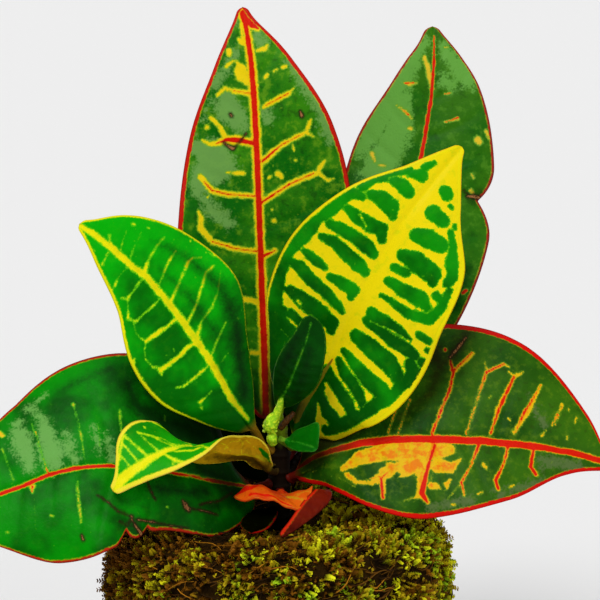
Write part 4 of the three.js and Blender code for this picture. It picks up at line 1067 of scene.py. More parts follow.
class Wires:
    """Small helper that adds nodes to a tree and links them."""

    def __init__(self, tree):
        self.tree = tree

    def node(self, kind, **settings):
        made = self.tree.nodes.new(kind)
        for key, value in settings.items():
            setattr(made, key, value)
        return made

    def link(self, source, target):
        self.tree.links.new(source, target)

    def feed(self, socket, value):
        if isinstance(value, bpy.types.NodeSocket):
            self.link(value, socket)
        elif socket.type == "RGBA" and len(value) == 3:
            socket.default_value = (*value, 1.0)
        else:
            socket.default_value = value

    def feed_all(self, made, values):
        for key, value in values.items():
            self.feed(made.inputs[key], value)

    def math(self, operation, first, second):
        made = self.node("ShaderNodeMath", operation=operation)
        self.feed(made.inputs[0], first)
        self.feed(made.inputs[1], second)
        return made.outputs[0]

    def times(self, first, second):
        return self.math("MULTIPLY", first, second)

    def plus(self, first, second):
        return self.math("ADD", first, second)

    def minus(self, first, second):
        return self.math("SUBTRACT", first, second)

    def mix(self, factor, first, second, blend="MIX"):
        made = self.node("ShaderNodeMix", data_type="RGBA", blend_type=blend)
        self.feed_all(made, {"Factor": factor, "A": first, "B": second})
        return made.outputs["Result"]

    def ramp(self, value, low, high, start=0.0, end=1.0):
        """A smooth step from start to end while the value goes from low to high."""
        made = self.node("ShaderNodeMapRange", interpolation_type="SMOOTHSTEP")
        ends = {"From Min": low, "From Max": high, "To Min": start, "To Max": end}
        self.feed_all(made, {"Value": value, **ends})
        return made.outputs["Result"]

    def fall(self, value, low, high):
        """A smooth step down from 1 to 0."""
        return self.ramp(value, low, high, 1.0, 0.0)

    def noise(self, vector, scale, detail=2.0, roughness=0.5):
        made = self.node("ShaderNodeTexNoise")
        shape = {"Scale": scale, "Detail": detail, "Roughness": roughness}
        self.feed_all(made, {"Vector": vector, **shape})
        return made.outputs["Fac"]

    def attribute(self, name):
        return self.node("ShaderNodeAttribute", attribute_name=name).outputs["Fac"]

    def object_coordinates(self):
        return self.node("ShaderNodeTexCoord").outputs["Object"]

    def height_of(self, vector):
        made = self.node("ShaderNodeSeparateXYZ")
        self.link(vector, made.inputs[0])
        return made.outputs["Z"]

    def dress(self, shader, colour, rough, specular, bump=None):
        """Gives a shader its colour, roughness, specular level and (height, strength, distance)."""
        self.link(colour, shader.inputs["Base Color"])
        self.link(rough, shader.inputs["Roughness"])
        shader.inputs["Specular IOR Level"].default_value = specular
        if bump:
            made = self.node("ShaderNodeBump")
            self.feed_all(made, dict(zip(("Height", "Strength", "Distance"), bump)))
            self.link(made.outputs["Normal"], shader.inputs["Normal"])


def new_group(name, inputs, outputs):
    """A shader node group with named sockets, its input and output nodes and its wires."""
    group = bpy.data.node_groups.new(name, "ShaderNodeTree")
    kinds = {"color": "NodeSocketColor", "value": "NodeSocketFloat", "vector": "NodeSocketVector"}
    for key, kind in inputs:
        group.interface.new_socket(key, in_out="INPUT", socket_type=kinds[kind])
    for key, kind in outputs:
        group.interface.new_socket(key, in_out="OUTPUT", socket_type=kinds[kind])
    wires = Wires(group)
    return group, wires, wires.node("NodeGroupInput").outputs, wires.node("NodeGroupOutput").inputs


def grouped(wires, group, values):
    made = wires.node("ShaderNodeGroup", node_tree=group)
    wires.feed_all(made, values)
    return made.outputs


def once(name, make):
    """The node group of that name, made when it is first asked for."""
    return bpy.data.node_groups.get(name) or make(name)


# ---------------------------------------------------------------- leaf material

FIELDS = ("gold", "blush", "scar", "bloom", "dusk", "margin", "edge", "foot", "under", "along")
COLOURS = (
    "shade", "light", "lime", "gold", "blush", "rim", "edge", "under", "foot", "bloom", "dusk",
)
AMOUNTS = ("mottle", "wear", "fade", "fringe", "flush")

# Scales of the tissue's noises, per metre, and the millimetres over which its sharp edges blend.
FINE_GRAIN = 1500
BROAD_GRAIN = 420
MOTTLE_GRAIN = 300
PATCH_GRAIN = 60
CELL_GRAIN = 620
SPOT_GRAIN = 700
CRISP = (-0.12, 0.1)
CRISP_RIM = (-0.12, 0.12)


def leaf_grain(wires, given):
    """Noises that break up the colours of a leaf, and how far they make its edges wander."""
    place = given["Coordinates"]
    fine = wires.noise(place, FINE_GRAIN, 3)
    broad = wires.noise(place, BROAD_GRAIN, 2)
    mottling = wires.noise(place, MOTTLE_GRAIN, 4, 0.65)
    wander = wires.plus(wires.minus(fine, 0.5), wires.minus(broad, 0.5))
    jitter = wires.times(wander, given["Raggedness"])
    return {
        "fine": fine, "broad": broad, "mottling": mottling, "wander": wander, "jitter": jitter,
    }


def ground_colour(wires, given, grain, gold):
    """The green ground with its mottling, painted sheen and spots, lighter beside the yellow."""
    place, mottling = given["Coordinates"], grain["mottling"]
    patches = wires.noise(place, PATCH_GRAIN, 3, 0.55)
    # Painted light and shade along the leaf: the ground's lightness changes from foot to tip.
    outwards = wires.times(wires.minus(given["Along"], 0.5), given["Fade"])
    light_share = wires.ramp(wires.plus(patches, outwards), 0.32, 0.68)
    colour = wires.mix(light_share, given["Shade Colour"], given["Light Colour"])
    pale = wires.times(wires.ramp(mottling, 0.5, 0.7), given["Mottle"])
    colour = wires.mix(pale, colour, given["Lime Colour"])
    # The dark of the mottling borrows the colour of the painted shade.
    deep = wires.times(wires.ramp(mottling, 0.46, 0.32), given["Mottle"])
    colour = wires.mix(deep, colour, given["Dusk Colour"])
    # Painted sheen: greyish patches that stand for the soft reflections on the leaf.
    painted_sheen_edge = wires.plus(given["Bloom"], wires.times(grain["wander"], 6.0))
    bloom = wires.times(wires.fall(painted_sheen_edge, -1.5, 1.5), 0.85)
    colour = wires.mix(bloom, colour, given["Bloom Colour"])
    near_gold = wires.times(wires.fall(gold, 0.0, 0.5), 0.75)
    colour = wires.mix(near_gold, colour, given["Lime Colour"])
    spots = wires.ramp(wires.noise(place, SPOT_GRAIN, 1), 0.74, 0.8)
    return wires.mix(wires.times(spots, 0.35), colour, given["Lime Colour"])


def gold_colour(wires, given, grain, gold):
    """The yellow tissue, greener along its edges and flushed with orange where it is broad."""
    thin = wires.times(given["Fringe"], -1.0)
    pale = wires.times(wires.ramp(gold, thin, 0.0), 0.85)
    pale_patches = wires.times(wires.ramp(grain["broad"], 0.5, 0.8), 0.3)
    pale = wires.math("MAXIMUM", pale, pale_patches)
    tone = wires.mix(pale, given["Gold Colour"], given["Lime Colour"])
    flush = wires.times(wires.ramp(grain["mottling"], 0.42, 0.6), wires.fall(gold, -1.2, -0.3))
    return wires.mix(wires.times(flush, given["Flush"]), tone, ORANGE)


def add_blush(wires, given, grain, colour, gold_mask):
    """Red veins over the colour, with an orange edge where they run through yellow."""
    blush = wires.plus(given["Blush"], wires.times(grain["jitter"], 0.5))
    warm = wires.times(wires.fall(blush, 0.0, 0.4), 0.8)
    colour = wires.mix(wires.times(warm, gold_mask), colour, ORANGE)
    shaded = wires.mix(0.5, given["Blush Colour"], VEIN_SHADE)
    shade = wires.times(wires.ramp(grain["fine"], 0.4, 0.7), 0.3)
    tone = wires.mix(shade, given["Blush Colour"], shaded)
    return wires.mix(wires.fall(blush, *CRISP), colour, tone)


def add_rim(wires, given, grain, colour, rim_mask, rim_tone, margin):
    """The coloured margin with its yellow fringe and its outermost line."""
    fringe = wires.ramp(margin, 0.1, 0.5, 0.6, 0.0)
    fringe = wires.times(fringe, wires.ramp(grain["broad"], 0.35, 0.6))
    fringe_tone = wires.mix(0.4, given["Gold Colour"], given["Lime Colour"])
    colour = wires.mix(fringe, colour, fringe_tone)
    colour = wires.mix(rim_mask, colour, rim_tone)
    edge_line = wires.plus(given["Edge"], wires.times(grain["jitter"], 0.6))
    edge_line = wires.times(wires.fall(edge_line, 0.1, 0.4), 0.7)
    return wires.mix(edge_line, colour, given["Edge Colour"])


def add_scars(wires, grain, colour, scar):
    """Dry brown scars with a pale core."""
    mask = wires.fall(scar, -0.1, 0.2)
    core = wires.times(wires.fall(scar, -0.3, 0.05), wires.ramp(grain["fine"], 0.3, 0.55))
    halo = wires.ramp(scar, 0.0, 1.0, 0.75, 0.0)
    colour = wires.mix(halo, colour, SCAR_BROWN)
    return wires.mix(mask, colour, wires.mix(core, SCAR_BROWN, SCAR_PALE)), mask


def add_foot(wires, given, grain, colour):
    """Painted shade at the blade's foot, where the leaves crowd round the stem, and the petiole."""
    depth = wires.ramp(given["Along"], 0.03, given["Depth Reach"], given["Depth"], 0.0)
    colour = wires.mix(depth, colour, FOOT_SHADE, "MULTIPLY")
    shaded = wires.mix(0.6, given["Foot Colour"], PETIOLE_SHADE)
    shade = wires.times(wires.ramp(grain["fine"], 0.35, 0.7), 0.5)
    tone = wires.mix(shade, given["Foot Colour"], shaded)
    return wires.mix(given["Foot"], colour, tone)


def underside_colour(wires, given, grain, gold_mask, dusk):
    """The duller underside, in which the yellow shows through, darkened by streaks and by painted
    shade.
    """
    through = wires.mix(0.3, given["Gold Colour"], given["Under Colour"])
    tone = wires.mix(wires.times(gold_mask, 0.8), given["Under Colour"], through)
    streaks = wires.times(wires.ramp(grain["mottling"], 0.45, 0.65), 0.3)
    tone = wires.mix(streaks, tone, given["Dusk Colour"])
    return wires.mix(dusk, tone, given["Dusk Colour"])


def tissue_surface(wires, given, grain, gold_mask, scar_mask):
    """Height and roughness of the leaf's skin."""
    cells = wires.node("ShaderNodeTexVoronoi", feature="DISTANCE_TO_EDGE")
    wires.feed_all(cells, {"Vector": given["Coordinates"], "Scale": CELL_GRAIN})
    height = wires.times(cells.outputs["Distance"], 0.35)
    height = wires.plus(height, wires.times(grain["fine"], 0.12))
    height = wires.minus(height, wires.times(gold_mask, 0.12))
    rough = wires.plus(0.36, wires.times(grain["broad"], 0.16))
    rough = wires.plus(rough, wires.times(scar_mask, 0.3))
    return height, wires.plus(rough, wires.times(given["Under"], 0.2))


def make_leaf_tissue(name):
    """Colours of a variegated leaf from its distance fields, with ragged edges."""
    values = [key.title() for key in FIELDS + AMOUNTS] + ["Raggedness", "Depth", "Depth Reach"]
    group, wires, given, out = new_group(
        name,
        [("Coordinates", "vector")] + [(key, "value") for key in values]
        + [(key.title() + " Colour", "color") for key in COLOURS],
        [("Colour", "color"), ("Height", "value"), ("Roughness", "value")],
    )
    grain = leaf_grain(wires, given)
    gold = wires.plus(given["Gold"], grain["jitter"])
    gold_mask = wires.fall(gold, *CRISP)
    margin = wires.plus(given["Margin"], wires.times(grain["jitter"], 0.8))
    rim_mask = wires.fall(margin, *CRISP_RIM)
    worn = wires.times(wires.ramp(grain["broad"], 0.4, 0.75), given["Wear"])
    worn_tone = wires.mix(0.45, given["Rim Colour"], WORN_RIM)
    rim_tone = wires.mix(worn, given["Rim Colour"], worn_tone)
    # Painted shade: dark strokes where shade falls on the leaf.
    painted_shade_edge = wires.plus(given["Dusk"], wires.times(grain["wander"], 3.0))
    dusk = wires.times(wires.fall(painted_shade_edge, -3.0, 3.5), 0.88)
    scar = wires.plus(given["Scar"], wires.times(grain["wander"], 0.8))

    colour = ground_colour(wires, given, grain, gold)
    colour = wires.mix(gold_mask, colour, gold_colour(wires, given, grain, gold))
    colour = add_blush(wires, given, grain, colour, gold_mask)
    # Painted shade over the ground, the yellow and the veins.
    colour = wires.mix(dusk, colour, given["Dusk Colour"])
    colour = add_rim(wires, given, grain, colour, rim_mask, rim_tone, margin)
    colour, scar_mask = add_scars(wires, grain, colour, scar)
    colour = add_foot(wires, given, grain, colour)
    under_tone = underside_colour(wires, given, grain, gold_mask, dusk)
    under_tone = wires.mix(rim_mask, under_tone, rim_tone)
    under_share = wires.times(given["Under"], wires.minus(1.0, given["Foot"]))
    wires.link(wires.mix(under_share, colour, under_tone), out["Colour"])
    height, rough = tissue_surface(wires, given, grain, gold_mask, scar_mask)
    wires.link(height, out["Height"])
    wires.link(rough, out["Roughness"])
    return group


def leaf_material(name):
    settings = bpy.context.scene.croton.leaf
    finish = {"blush": tuple(settings.blush), **FINISH_DEFAULTS, **LEAF_FINISHES[name]}
    material, wires, shader = new_material(name + "_finish")
    values = {"Coordinates": wires.object_coordinates(), "Raggedness": settings.raggedness}
    values.update({key.title(): wires.attribute(key) for key in FIELDS})
    values.update({key.title() + " Colour": finish[key] for key in COLOURS})
    values.update({key.title(): finish[key] for key in AMOUNTS})
    values["Depth"], values["Depth Reach"] = finish["deep"]
    tissue = grouped(wires, once("leaf tissue", make_leaf_tissue), values)
    gloss = settings.gloss * finish["gloss"]
    bump = (tissue["Height"], 0.35, 0.0006)
    wires.dress(shader, tissue["Colour"], tissue["Roughness"], gloss, bump)
    return material


# ---------------------------------------------------------------- turned pieces


def turned_piece(name, profile, sides):
    """A closed profile of (radius, height) in millimetres, spun round the Z axis."""
    shape = bmesh.new()
    corners = [shape.verts.new((radius * MM, 0, z * MM)) for radius, z in profile]
    for start, end in zip(corners, corners[1:]):
        shape.edges.new((start, end))
    bmesh.ops.spin(
        shape, geom=shape.verts[:] + shape.edges[:], cent=(0, 0, 0), axis=(0, 0, 1),
        angle=2 * math.pi, steps=sides, use_merge=True,
    )
    bmesh.ops.remove_doubles(shape, verts=shape.verts, dist=1e-5)
    bmesh.ops.recalc_face_normals(shape, faces=shape.faces)
    mesh = mesh_of(name, shape)
    mesh.shade_smooth()
    return placed(name, mesh)


def stepped(profile, step):
    """The profile with extra points, so that none is more than a step from the next."""
    points = []
    for (radius, z), (next_radius, next_z) in zip(profile, profile[1:]):
        count = max(1, math.ceil(math.hypot(next_radius - radius, next_z - z) / step))
        for i in range(count):
            t = i / count
            points.append((radius + (next_radius - radius) * t, z + (next_z - z) * t))
    return points + [profile[-1]]


# ---------------------------------------------------------------- pot

POT_PROFILE = [
    (0, 0), (38, 0), (41, 0.4), (43, 0.2), (43.8, 0.5), (44.1, 1.2), (53.5, 50.6), (53.9, 51),
    (58.2, 51), (59.1, 51.4), (59.5, 52.4), (59.5, 67.6), (59.1, 69.2), (57.9, 70), (56.5, 70),
    (55.4, 69.4), (55.1, 68.2), (55.1, 56), (54, 53.6), (49.1, 51), (40.8, 8), (39.6, 6),
    (37, 5.5), (0, 5.5),
]
SALT = (0.62, 0.54, 0.45)
DAMP = (0.12, 0.07, 0.03)
SPECKS = (0.28, 0.13, 0.07)
DARK_SHARE = 0.62  # brightness of the darker clay


def build_pot():
    piece = turned_piece("pot_turned", stepped(POT_PROFILE, 2.5), sides=160)
    points = vertex_array(piece.data)
    angle = np.arctan2(points[:, 1], points[:, 0])
    uneven = 0.12 * np.sin(2 * angle + 0.6) + 0.06 * np.sin(points[:, 2] / MM * 1.9)
    radius = np.maximum(np.hypot(points[:, 0], points[:, 1]), 1e-6)
    outward = 1 + np.where(radius > 0.03, uneven * MM / radius, 0)
    points[:, :2] *= outward[:, None]
    set_vertices(piece.data, points)
    piece.data.materials.append(clay_material())
    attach(piece, "root")
    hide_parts("pot")


def clay_material():
    settings = bpy.context.scene.croton.pot
    material, wires, shader = new_material("fired_clay")
    place = wires.object_coordinates()
    height = wires.height_of(place)
    mottling = wires.noise(place, 60, 5, 0.6)
    grit = wires.noise(place, 1800, 2)
    lines = wires.node("ShaderNodeTexWave", bands_direction="Z", wave_profile="SIN")
    wires.feed_all(lines, {"Vector": place, "Scale": 110, "Distortion": 1.5, "Detail": 2})
    clay = tuple(settings.clay)
    dark = tuple(channel * DARK_SHARE for channel in clay)
    colour = wires.mix(wires.ramp(mottling, 0.3, 0.7), dark, clay)
    streaks = wires.times(lines.outputs["Fac"], 0.14)
    colour = wires.mix(streaks, colour, dark)
    salt = wires.ramp(wires.noise(place, 38, 6, 0.65), 0.56, 0.72)
    low = wires.ramp(height, 0.0, 0.045, 1.0, 0.25)
    # Pale salt on the clay, mostly low down.
    bloom = wires.times(wires.times(salt, low), settings.salt)
    colour = wires.mix(bloom, colour, SALT)
    damp = wires.times(wires.ramp(height, 0.06, 0.071), 0.35)
    colour = wires.mix(damp, colour, DAMP)
    specks = wires.times(wires.ramp(grit, 0.66, 0.75), 0.35)
    colour = wires.mix(specks, colour, SPECKS)
    relief = wires.plus(wires.times(grit, 0.5), lines.outputs["Fac"])
    rough = wires.ramp(mottling, 0.2, 0.8, 0.78, 0.95)
    wires.dress(shader, colour, rough, 0.25, (relief, 0.3, 0.0005))
    return material


# ---------------------------------------------------------------- moss and root ball

MOSS_OUTER = [
    (39.1, 5.8), (48.6, 51), (54.6, 56), (54.6, 70), (57.5, 72), (58.5, 78), (58, 84), (57, 90),
    (55, 97), (52, 102), (46, 105.5), (38, 105.5), (28, 102.5), (17, 101), (9, 100.5),
]
MOSS_INNER = [
    (9, 96), (28, 96.5), (40, 97.5), (45, 94), (48, 89), (51, 80), (51, 73), (49.1, 70),
    (47.1, 56), (43.1, 51), (33.6, 5.8),
]
RIM_TOP = 70.0
MOSS_CENTRE = (0, 0, 85)
LUMP_HEIGHT = 1.3
LOW_LEAVES = ("leaf_low_left", "leaf_low_right", "leaf_crinkled", "leaf_low_red", "leaf_under")
LEAF_GAP = 1.7  # millimetres that stay free between a sprig and a leaf
CLEAR_AHEAD = np.arange(0.0, 19.0, 3.0)  # millimetres before a leaf at which no sprig stands
CLUMP_SIZES = (2.0, 5.4)
CLUMP_DOME = 0.5  # share of its size that a clump rises in its middle
CLUMP_SINK = 2.6  # millimetres that the sprigs' feet lie under the moss
CLUMP_TONE = (0.37, 0.26)  # mean and spread
# Painted light: the moss is painted lighter on the right side.
SUNNY_SIDE = 0.25  # how much lighter the right side is
SPLAY = 0.9  # how far the outer sprigs of a clump lean out
WILDNESS = 0.45  # spread of the sprigs' directions
LEAFLET_TURN = math.radians(38)

# Piece, clumps (a setting), sprigs in a clump, and the sprigs' shortest and longest length.
SPRIG_KINDS = (
    ("moss_feathers_1", "feathers", 13, (2.6, 5.4)),
    ("moss_feathers_2", "feathers", 13, (2.0, 4.6)),
    ("moss_lobes_1", "lobes", 7, (1.6, 3.2)),
    ("moss_lobes_2", "lobes", 7, (1.0, 2.2)),
)

# Darkest, lighter and lightest tone, in that order.
BED_COLOURS = ((0.008, 0.004, 0.001), (0.03, 0.014, 0.002), (0.08, 0.045, 0.004))
STRAND_COLOURS = ((0.02, 0.009, 0.002), (0.11, 0.045, 0.004), (0.45, 0.18, 0.01))
SOIL_COLOURS = ((0.008, 0.004, 0.002), (0.04, 0.022, 0.01), (0.16, 0.11, 0.06))
MOSS_SHADE = (0.01, 0.006, 0.001)
MOSS_BROWN = (0.2, 0.075, 0.003)
MOSS_FRESH = (0.36, 0.58, 0.012)


def moss_relief(angle, z):
    """Height in millimetres of the lumps of the moss at an angle and a height."""
    broad = np.sin(3 * angle + 0.07 * z) + np.sin(5 * angle - 0.11 * z + 2)
    fine = np.sin(11 * angle + 0.31 * z) * np.sin(0.45 * z + 1)
    return LUMP_HEIGHT * (0.35 * broad + 0.4 * fine)


def moss_lumps(points):
    """Adds the lumps to the outer points of the moss, in millimetres."""
    radius = np.maximum(np.hypot(points[:, 0], points[:, 1]), 1e-6)
    angle = np.arctan2(points[:, 1], points[:, 0])
    z = points[:, 2]
    relief = moss_relief(angle, z)
    shift = np.clip((z - RIM_TOP) / 4, 0, 1) * np.clip((radius - 9) / 4, 0, 1)
    moved = points.copy()
    moved[:, :2] *= (1 + relief * shift / radius)[:, None]
    moved[:, 2] += 0.5 * relief * shift
    return moved


def build_moss_bed():
    profile = stepped(MOSS_OUTER + MOSS_INNER + [MOSS_OUTER[0]], 1.6)
    piece = turned_piece("moss_bed", profile, sides=200)
    points = vertex_array(piece.data) / MM
    outer = points[:, 2] > RIM_TOP
    inside = np.zeros(len(points), bool)
    radius = np.hypot(points[:, 0], points[:, 1])
    for (r0, z0), (r1, z1) in zip(MOSS_INNER, MOSS_INNER[1:]):
        span = np.array([r1 - r0, z1 - z0])
        offset = np.stack([radius - r0, points[:, 2] - z0], axis=1)
        t = np.clip(offset @ span / (span @ span), 0, 1)
        inside |= np.linalg.norm(offset - t[:, None] * span, axis=1) < 0.5
    skin = outer & ~inside
    points[skin] = moss_lumps(points[skin])
    radial = points[skin]
    lump = np.sin(radial[:, 0] * 1.7) * np.sin(radial[:, 1] * 1.9 + 1) * np.sin(radial[:, 2] * 1.6)
    outward = radial / np.maximum(np.linalg.norm(radial - MOSS_CENTRE, axis=1), 1)[:, None]
    points[skin] = radial + 0.5 * lump[:, None] * outward
    set_vertices(piece.data, points * MM)
    piece.data.materials.append(moss_bed_material())
    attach(piece, "root")
    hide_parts("moss_wrap")


def moss_bed_material():
    material, wires, shader = new_material("moss_bed_finish")
    place = wires.object_coordinates()
    patches = wires.noise(place, 160, 4, 0.6)
    fibres = wires.noise(place, 900, 4, 0.7)
    colour = wires.mix(wires.ramp(patches, 0.35, 0.65), *BED_COLOURS[:2])
    colour = wires.mix(wires.ramp(fibres, 0.55, 0.8), colour, BED_COLOURS[2])
    rough = wires.ramp(fibres, 0.2, 0.8, 0.85, 1.0)
    wires.dress(shader, colour, rough, 0.03, (fibres, 0.8, 0.0015))
    return material


def feather_template():
    """A small feathery shoot, one unit long up its Z axis, with leaflets on both sides."""
    shape = bmesh.new()
    pairs = 5
    for i in range(pairs):
        height = 0.12 + 0.8 * i / (pairs - 1)
        reach = 0.34 * (1 - 0.55 * i / (pairs - 1))
        for side in (-1, 1):
            leaflet = bmesh.ops.create_grid(shape, x_segments=1, y_segments=1, size=0.5)["verts"]
            bmesh.ops.scale(shape, verts=leaflet, vec=(reach, 0.2, 1))
            bmesh.ops.translate(shape, verts=leaflet, vec=(reach / 2, 0, 0))
            tilt = Matrix.Rotation(side * LEAFLET_TURN, 3, "X")
            lift = Matrix.Rotation(-LEAFLET_TURN, 3, "Y")
            turn = Matrix.Rotation(0 if side > 0 else math.pi, 3, "Z")
            bmesh.ops.rotate(shape, verts=leaflet, matrix=turn @ lift @ tilt)
            bmesh.ops.translate(shape, verts=leaflet, vec=(0, 0.06 * side, height))
    stalk = bmesh.ops.create_cone(
        shape, cap_ends=True, segments=3, radius1=0.05, radius2=0.015, depth=1.0
    )["verts"]
    bmesh.ops.translate(shape, verts=stalk, vec=(0, 0, 0.5))
    return template_arrays(shape)


def lobe_template():
    """A rosette of small rounded, cupped leaves that open upwards."""
    shape = bmesh.new()
    leaves = 6
    for i in range(leaves):
        blade = bmesh.ops.create_grid(shape, x_segments=3, y_segments=2, size=0.5)["verts"]
        for corner in blade:
            bend = corner.co.x + 0.5
            corner.co.y *= 0.85 * math.sqrt(max(1 - (2 * bend - 1.05) ** 2, 0.06))
            corner.co.z += 0.3 * bend * bend + 1.2 * corner.co.y * corner.co.y
        bmesh.ops.translate(shape, verts=blade, vec=(0.5, 0, 0))
        lift = Matrix.Rotation(math.radians(-30 - 25 * (i % 3)), 3, "Y")
        spin = Matrix.Rotation(i * 2.4, 3, "Z")
        bmesh.ops.rotate(shape, verts=blade, matrix=spin @ lift)
    return template_arrays(shape)


def strand_template():
    """A thin dry strand that arches along its X axis."""
    shape = bmesh.new()
    bmesh.ops.create_cone(
        shape, cap_ends=True, segments=3, radius1=0.035, radius2=0.02, depth=1.0
    )
    long = [e for e in shape.edges if abs(e.verts[0].co.z - e.verts[1].co.z) > 0.5]
    bmesh.ops.subdivide_edges(shape, edges=long, cuts=5)
    bmesh.ops.rotate(shape, verts=shape.verts, matrix=Matrix.Rotation(math.radians(90), 3, "Y"))
    for corner in shape.verts:
        corner.co.z += 0.22 * (1 - (2 * corner.co.x) ** 2)
        corner.co.y += 0.12 * math.sin(5 * corner.co.x)
    return template_arrays(shape)


def template_arrays(shape):
    """Corners and triangles of a template, which is then freed."""
    bmesh.ops.triangulate(shape, faces=shape.faces)
    shape.verts.index_update()
    corners = np.array([v.co[:] for v in shape.verts])
    faces = np.array([[v.index for v in f.verts] for f in shape.faces])
    shape.free()
    return corners, faces


def scatter(name, template, places, frames, sizes, tones, material):
    """Copies of the template at the places, as one piece."""
    corners, faces = template
    count, size = len(places), len(corners)
    local = corners[None] * sizes[:, None, :]
    world = np.einsum("nij,nkj->nki", frames, local) + places[:, None]
    tris = faces[None] + (np.arange(count) * size)[:, None, None]
    mesh = bpy.data.meshes.new(name)
    mesh.from_pydata(world.reshape(-1, 3) * MM, [], tris.reshape(-1, 3))
    height = corners[:, 2] / max(corners[:, 2].max(), 1e-6)
    set_field(mesh, "tone", np.repeat(tones, size))
    set_field(mesh, "tip", np.tile(height, count))
    mesh.materials.append(material)
    piece = placed(name, mesh)
    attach(piece, "root")
    return piece


def moss_places(random, count):
    """Random places on the moss that shows, with the outward direction at each."""
    shown = [row for row in MOSS_OUTER if row[1] >= RIM_TOP][:-1]
    shown[0] = (56.3, 70.6)  # just over the pot's rim
    rows = np.array(shown)
    spans = np.diff(rows, axis=0)
    areas = np.linalg.norm(spans, axis=1) * (rows[1:, 0] + rows[:-1, 0])
    pick = random.choice(len(spans), count, p=areas / areas.sum())
    t = random.random(count)
    radius = rows[pick, 0] + spans[pick, 0] * t
    z = rows[pick, 1] + spans[pick, 1] * t
    angle = random.uniform(-math.pi, math.pi, count)
    places = np.stack([radius * np.cos(angle), radius * np.sin(angle), z], axis=1)
    slope = np.stack([spans[pick, 1], -spans[pick, 0]], axis=1)
    slope /= np.linalg.norm(slope, axis=1, keepdims=True)
    outward = np.stack([slope[:, 0] * np.cos(angle), slope[:, 0] * np.sin(angle), slope[:, 1]], 1)
    return moss_lumps(places), outward, angle


def frames_from(ups, random):
    """Rotation frames with their Z axes along ups and a random turn about them."""
    helper = random.normal(size=ups.shape)
    first = unit(np.cross(helper, ups))
    second = np.cross(ups, first)
    return np.stack([first, second, ups], axis=2)


def leaf_clearance():
    """Points of the low leaves, so that no moss grows through them."""
    blades = [Blade(LEAF_SHAPES[name], step=1.5) for name in LOW_LEAVES]
    points = np.concatenate([blade.middle.reshape(-1, 3) for blade in blades])
    tree = KDTree(len(points))
    for i, point in enumerate(points):
        tree.insert(point, i)
    tree.balance()
    return tree


def clear_of_leaves(tree, tips):
    """Which of the tips, in millimetres, neither touch a leaf nor stand close before one."""
    before = VIEW_AHEAD * CLEAR_AHEAD[:, None]
    return np.array([
        min(tree.find((tip + step) * MM)[2] for step in before) > LEAF_GAP * MM for tip in tips
    ])


def clump_places(random, clumps, sprigs):
    """Places, directions and tones of the sprigs of domed clumps, with gaps between clumps."""
    centres, outward, angle = moss_places(random, clumps)
    size = random.uniform(*CLUMP_SIZES, clumps)
    mean, spread = CLUMP_TONE
    tone = mean + random.normal(scale=spread, size=clumps) + SUNNY_SIDE * np.cos(angle)
    tone = np.clip(tone, 0, 1)
    which = np.repeat(np.arange(clumps), sprigs)
    out = outward[which]
    offset = random.normal(scale=0.5, size=(len(which), 3)) * size[which, None]
    offset -= (offset * out).sum(1, keepdims=True) * out
    reach = np.linalg.norm(offset, axis=1) / size[which]
    dome = size[which] * CLUMP_DOME * np.clip(1 - reach**2, 0, 1) - CLUMP_SINK
    places = centres[which] + offset + out * dome[:, None]
    lean = SPLAY * offset / size[which, None]
    ups = unit(out + lean + random.normal(scale=WILDNESS, size=out.shape))
    ups = np.where((ups * out).sum(1, keepdims=True) < 0.15, unit(ups + out), ups)
    tones = np.clip(tone[which] + random.normal(scale=0.08, size=len(which)), 0, 1)
    return places, ups, tones


def build_moss_sprigs():
    settings = bpy.context.scene.croton.moss
    random = np.random.default_rng(settings.seed)
    material = moss_sprig_material()
    templates = {"feathers": feather_template(), "lobes": lobe_template()}
    leaves = leaf_clearance()
    for name, kind, sprigs, (shortest, longest) in SPRIG_KINDS:
        places, ups, tones = clump_places(random, getattr(settings, kind), sprigs)
        lengths = random.uniform(shortest, longest, len(places))
        clear = clear_of_leaves(leaves, places + ups * lengths[:, None])
        places, ups, tones, lengths = places[clear], ups[clear], tones[clear], lengths[clear]
        sizes = lengths[:, None] * np.ones(3)
        frames = frames_from(ups, random)
        scatter(name, templates[kind], places, frames, sizes, tones, material)
    build_moss_strands(random, settings.strands)
    build_moss_hairs(random, settings.hairs)


def build_moss_strands(random, count):
    """Dry strands that lie across the moss."""
    places, outward, angle = moss_places(random, count)
    lean = random.normal(scale=0.3, size=len(angle))
    level = np.stack([-np.sin(angle), np.cos(angle), lean], axis=1)
    first = unit(level - (level * outward).sum(1, keepdims=True) * outward)
    frames = np.stack([first, np.cross(outward, first), outward], axis=2)
    lengths = random.uniform(5, 15, len(places))
    sizes = np.stack([lengths, random.uniform(4, 9, len(places)), lengths * 0.6], axis=1)
    places = places + outward * random.uniform(-0.6, 0.7, (len(places), 1))
    tones = random.random(len(places))
    scatter("moss_strands", strand_template(), places, frames, sizes, tones, strand_material())


def build_moss_hairs(random, count):
    """Short hairs that stand out of the moss."""
    places, outward, _ = moss_places(random, count)
    first = unit(outward + random.normal(scale=0.5, size=outward.shape))
    second = unit(np.cross(first, random.normal(size=outward.shape)))
    frames = np.stack([first, second, np.cross(first, second)], axis=2)
    lengths = random.uniform(2.5, 6, len(places))
    sizes = lengths[:, None] * (1, 0.8, 0.8)
    places = places + first * (lengths[:, None] * 0.25)
    tones = random.random(len(places))
    scatter("moss_hairs", strand_template(), places, frames, sizes, tones, strand_material())


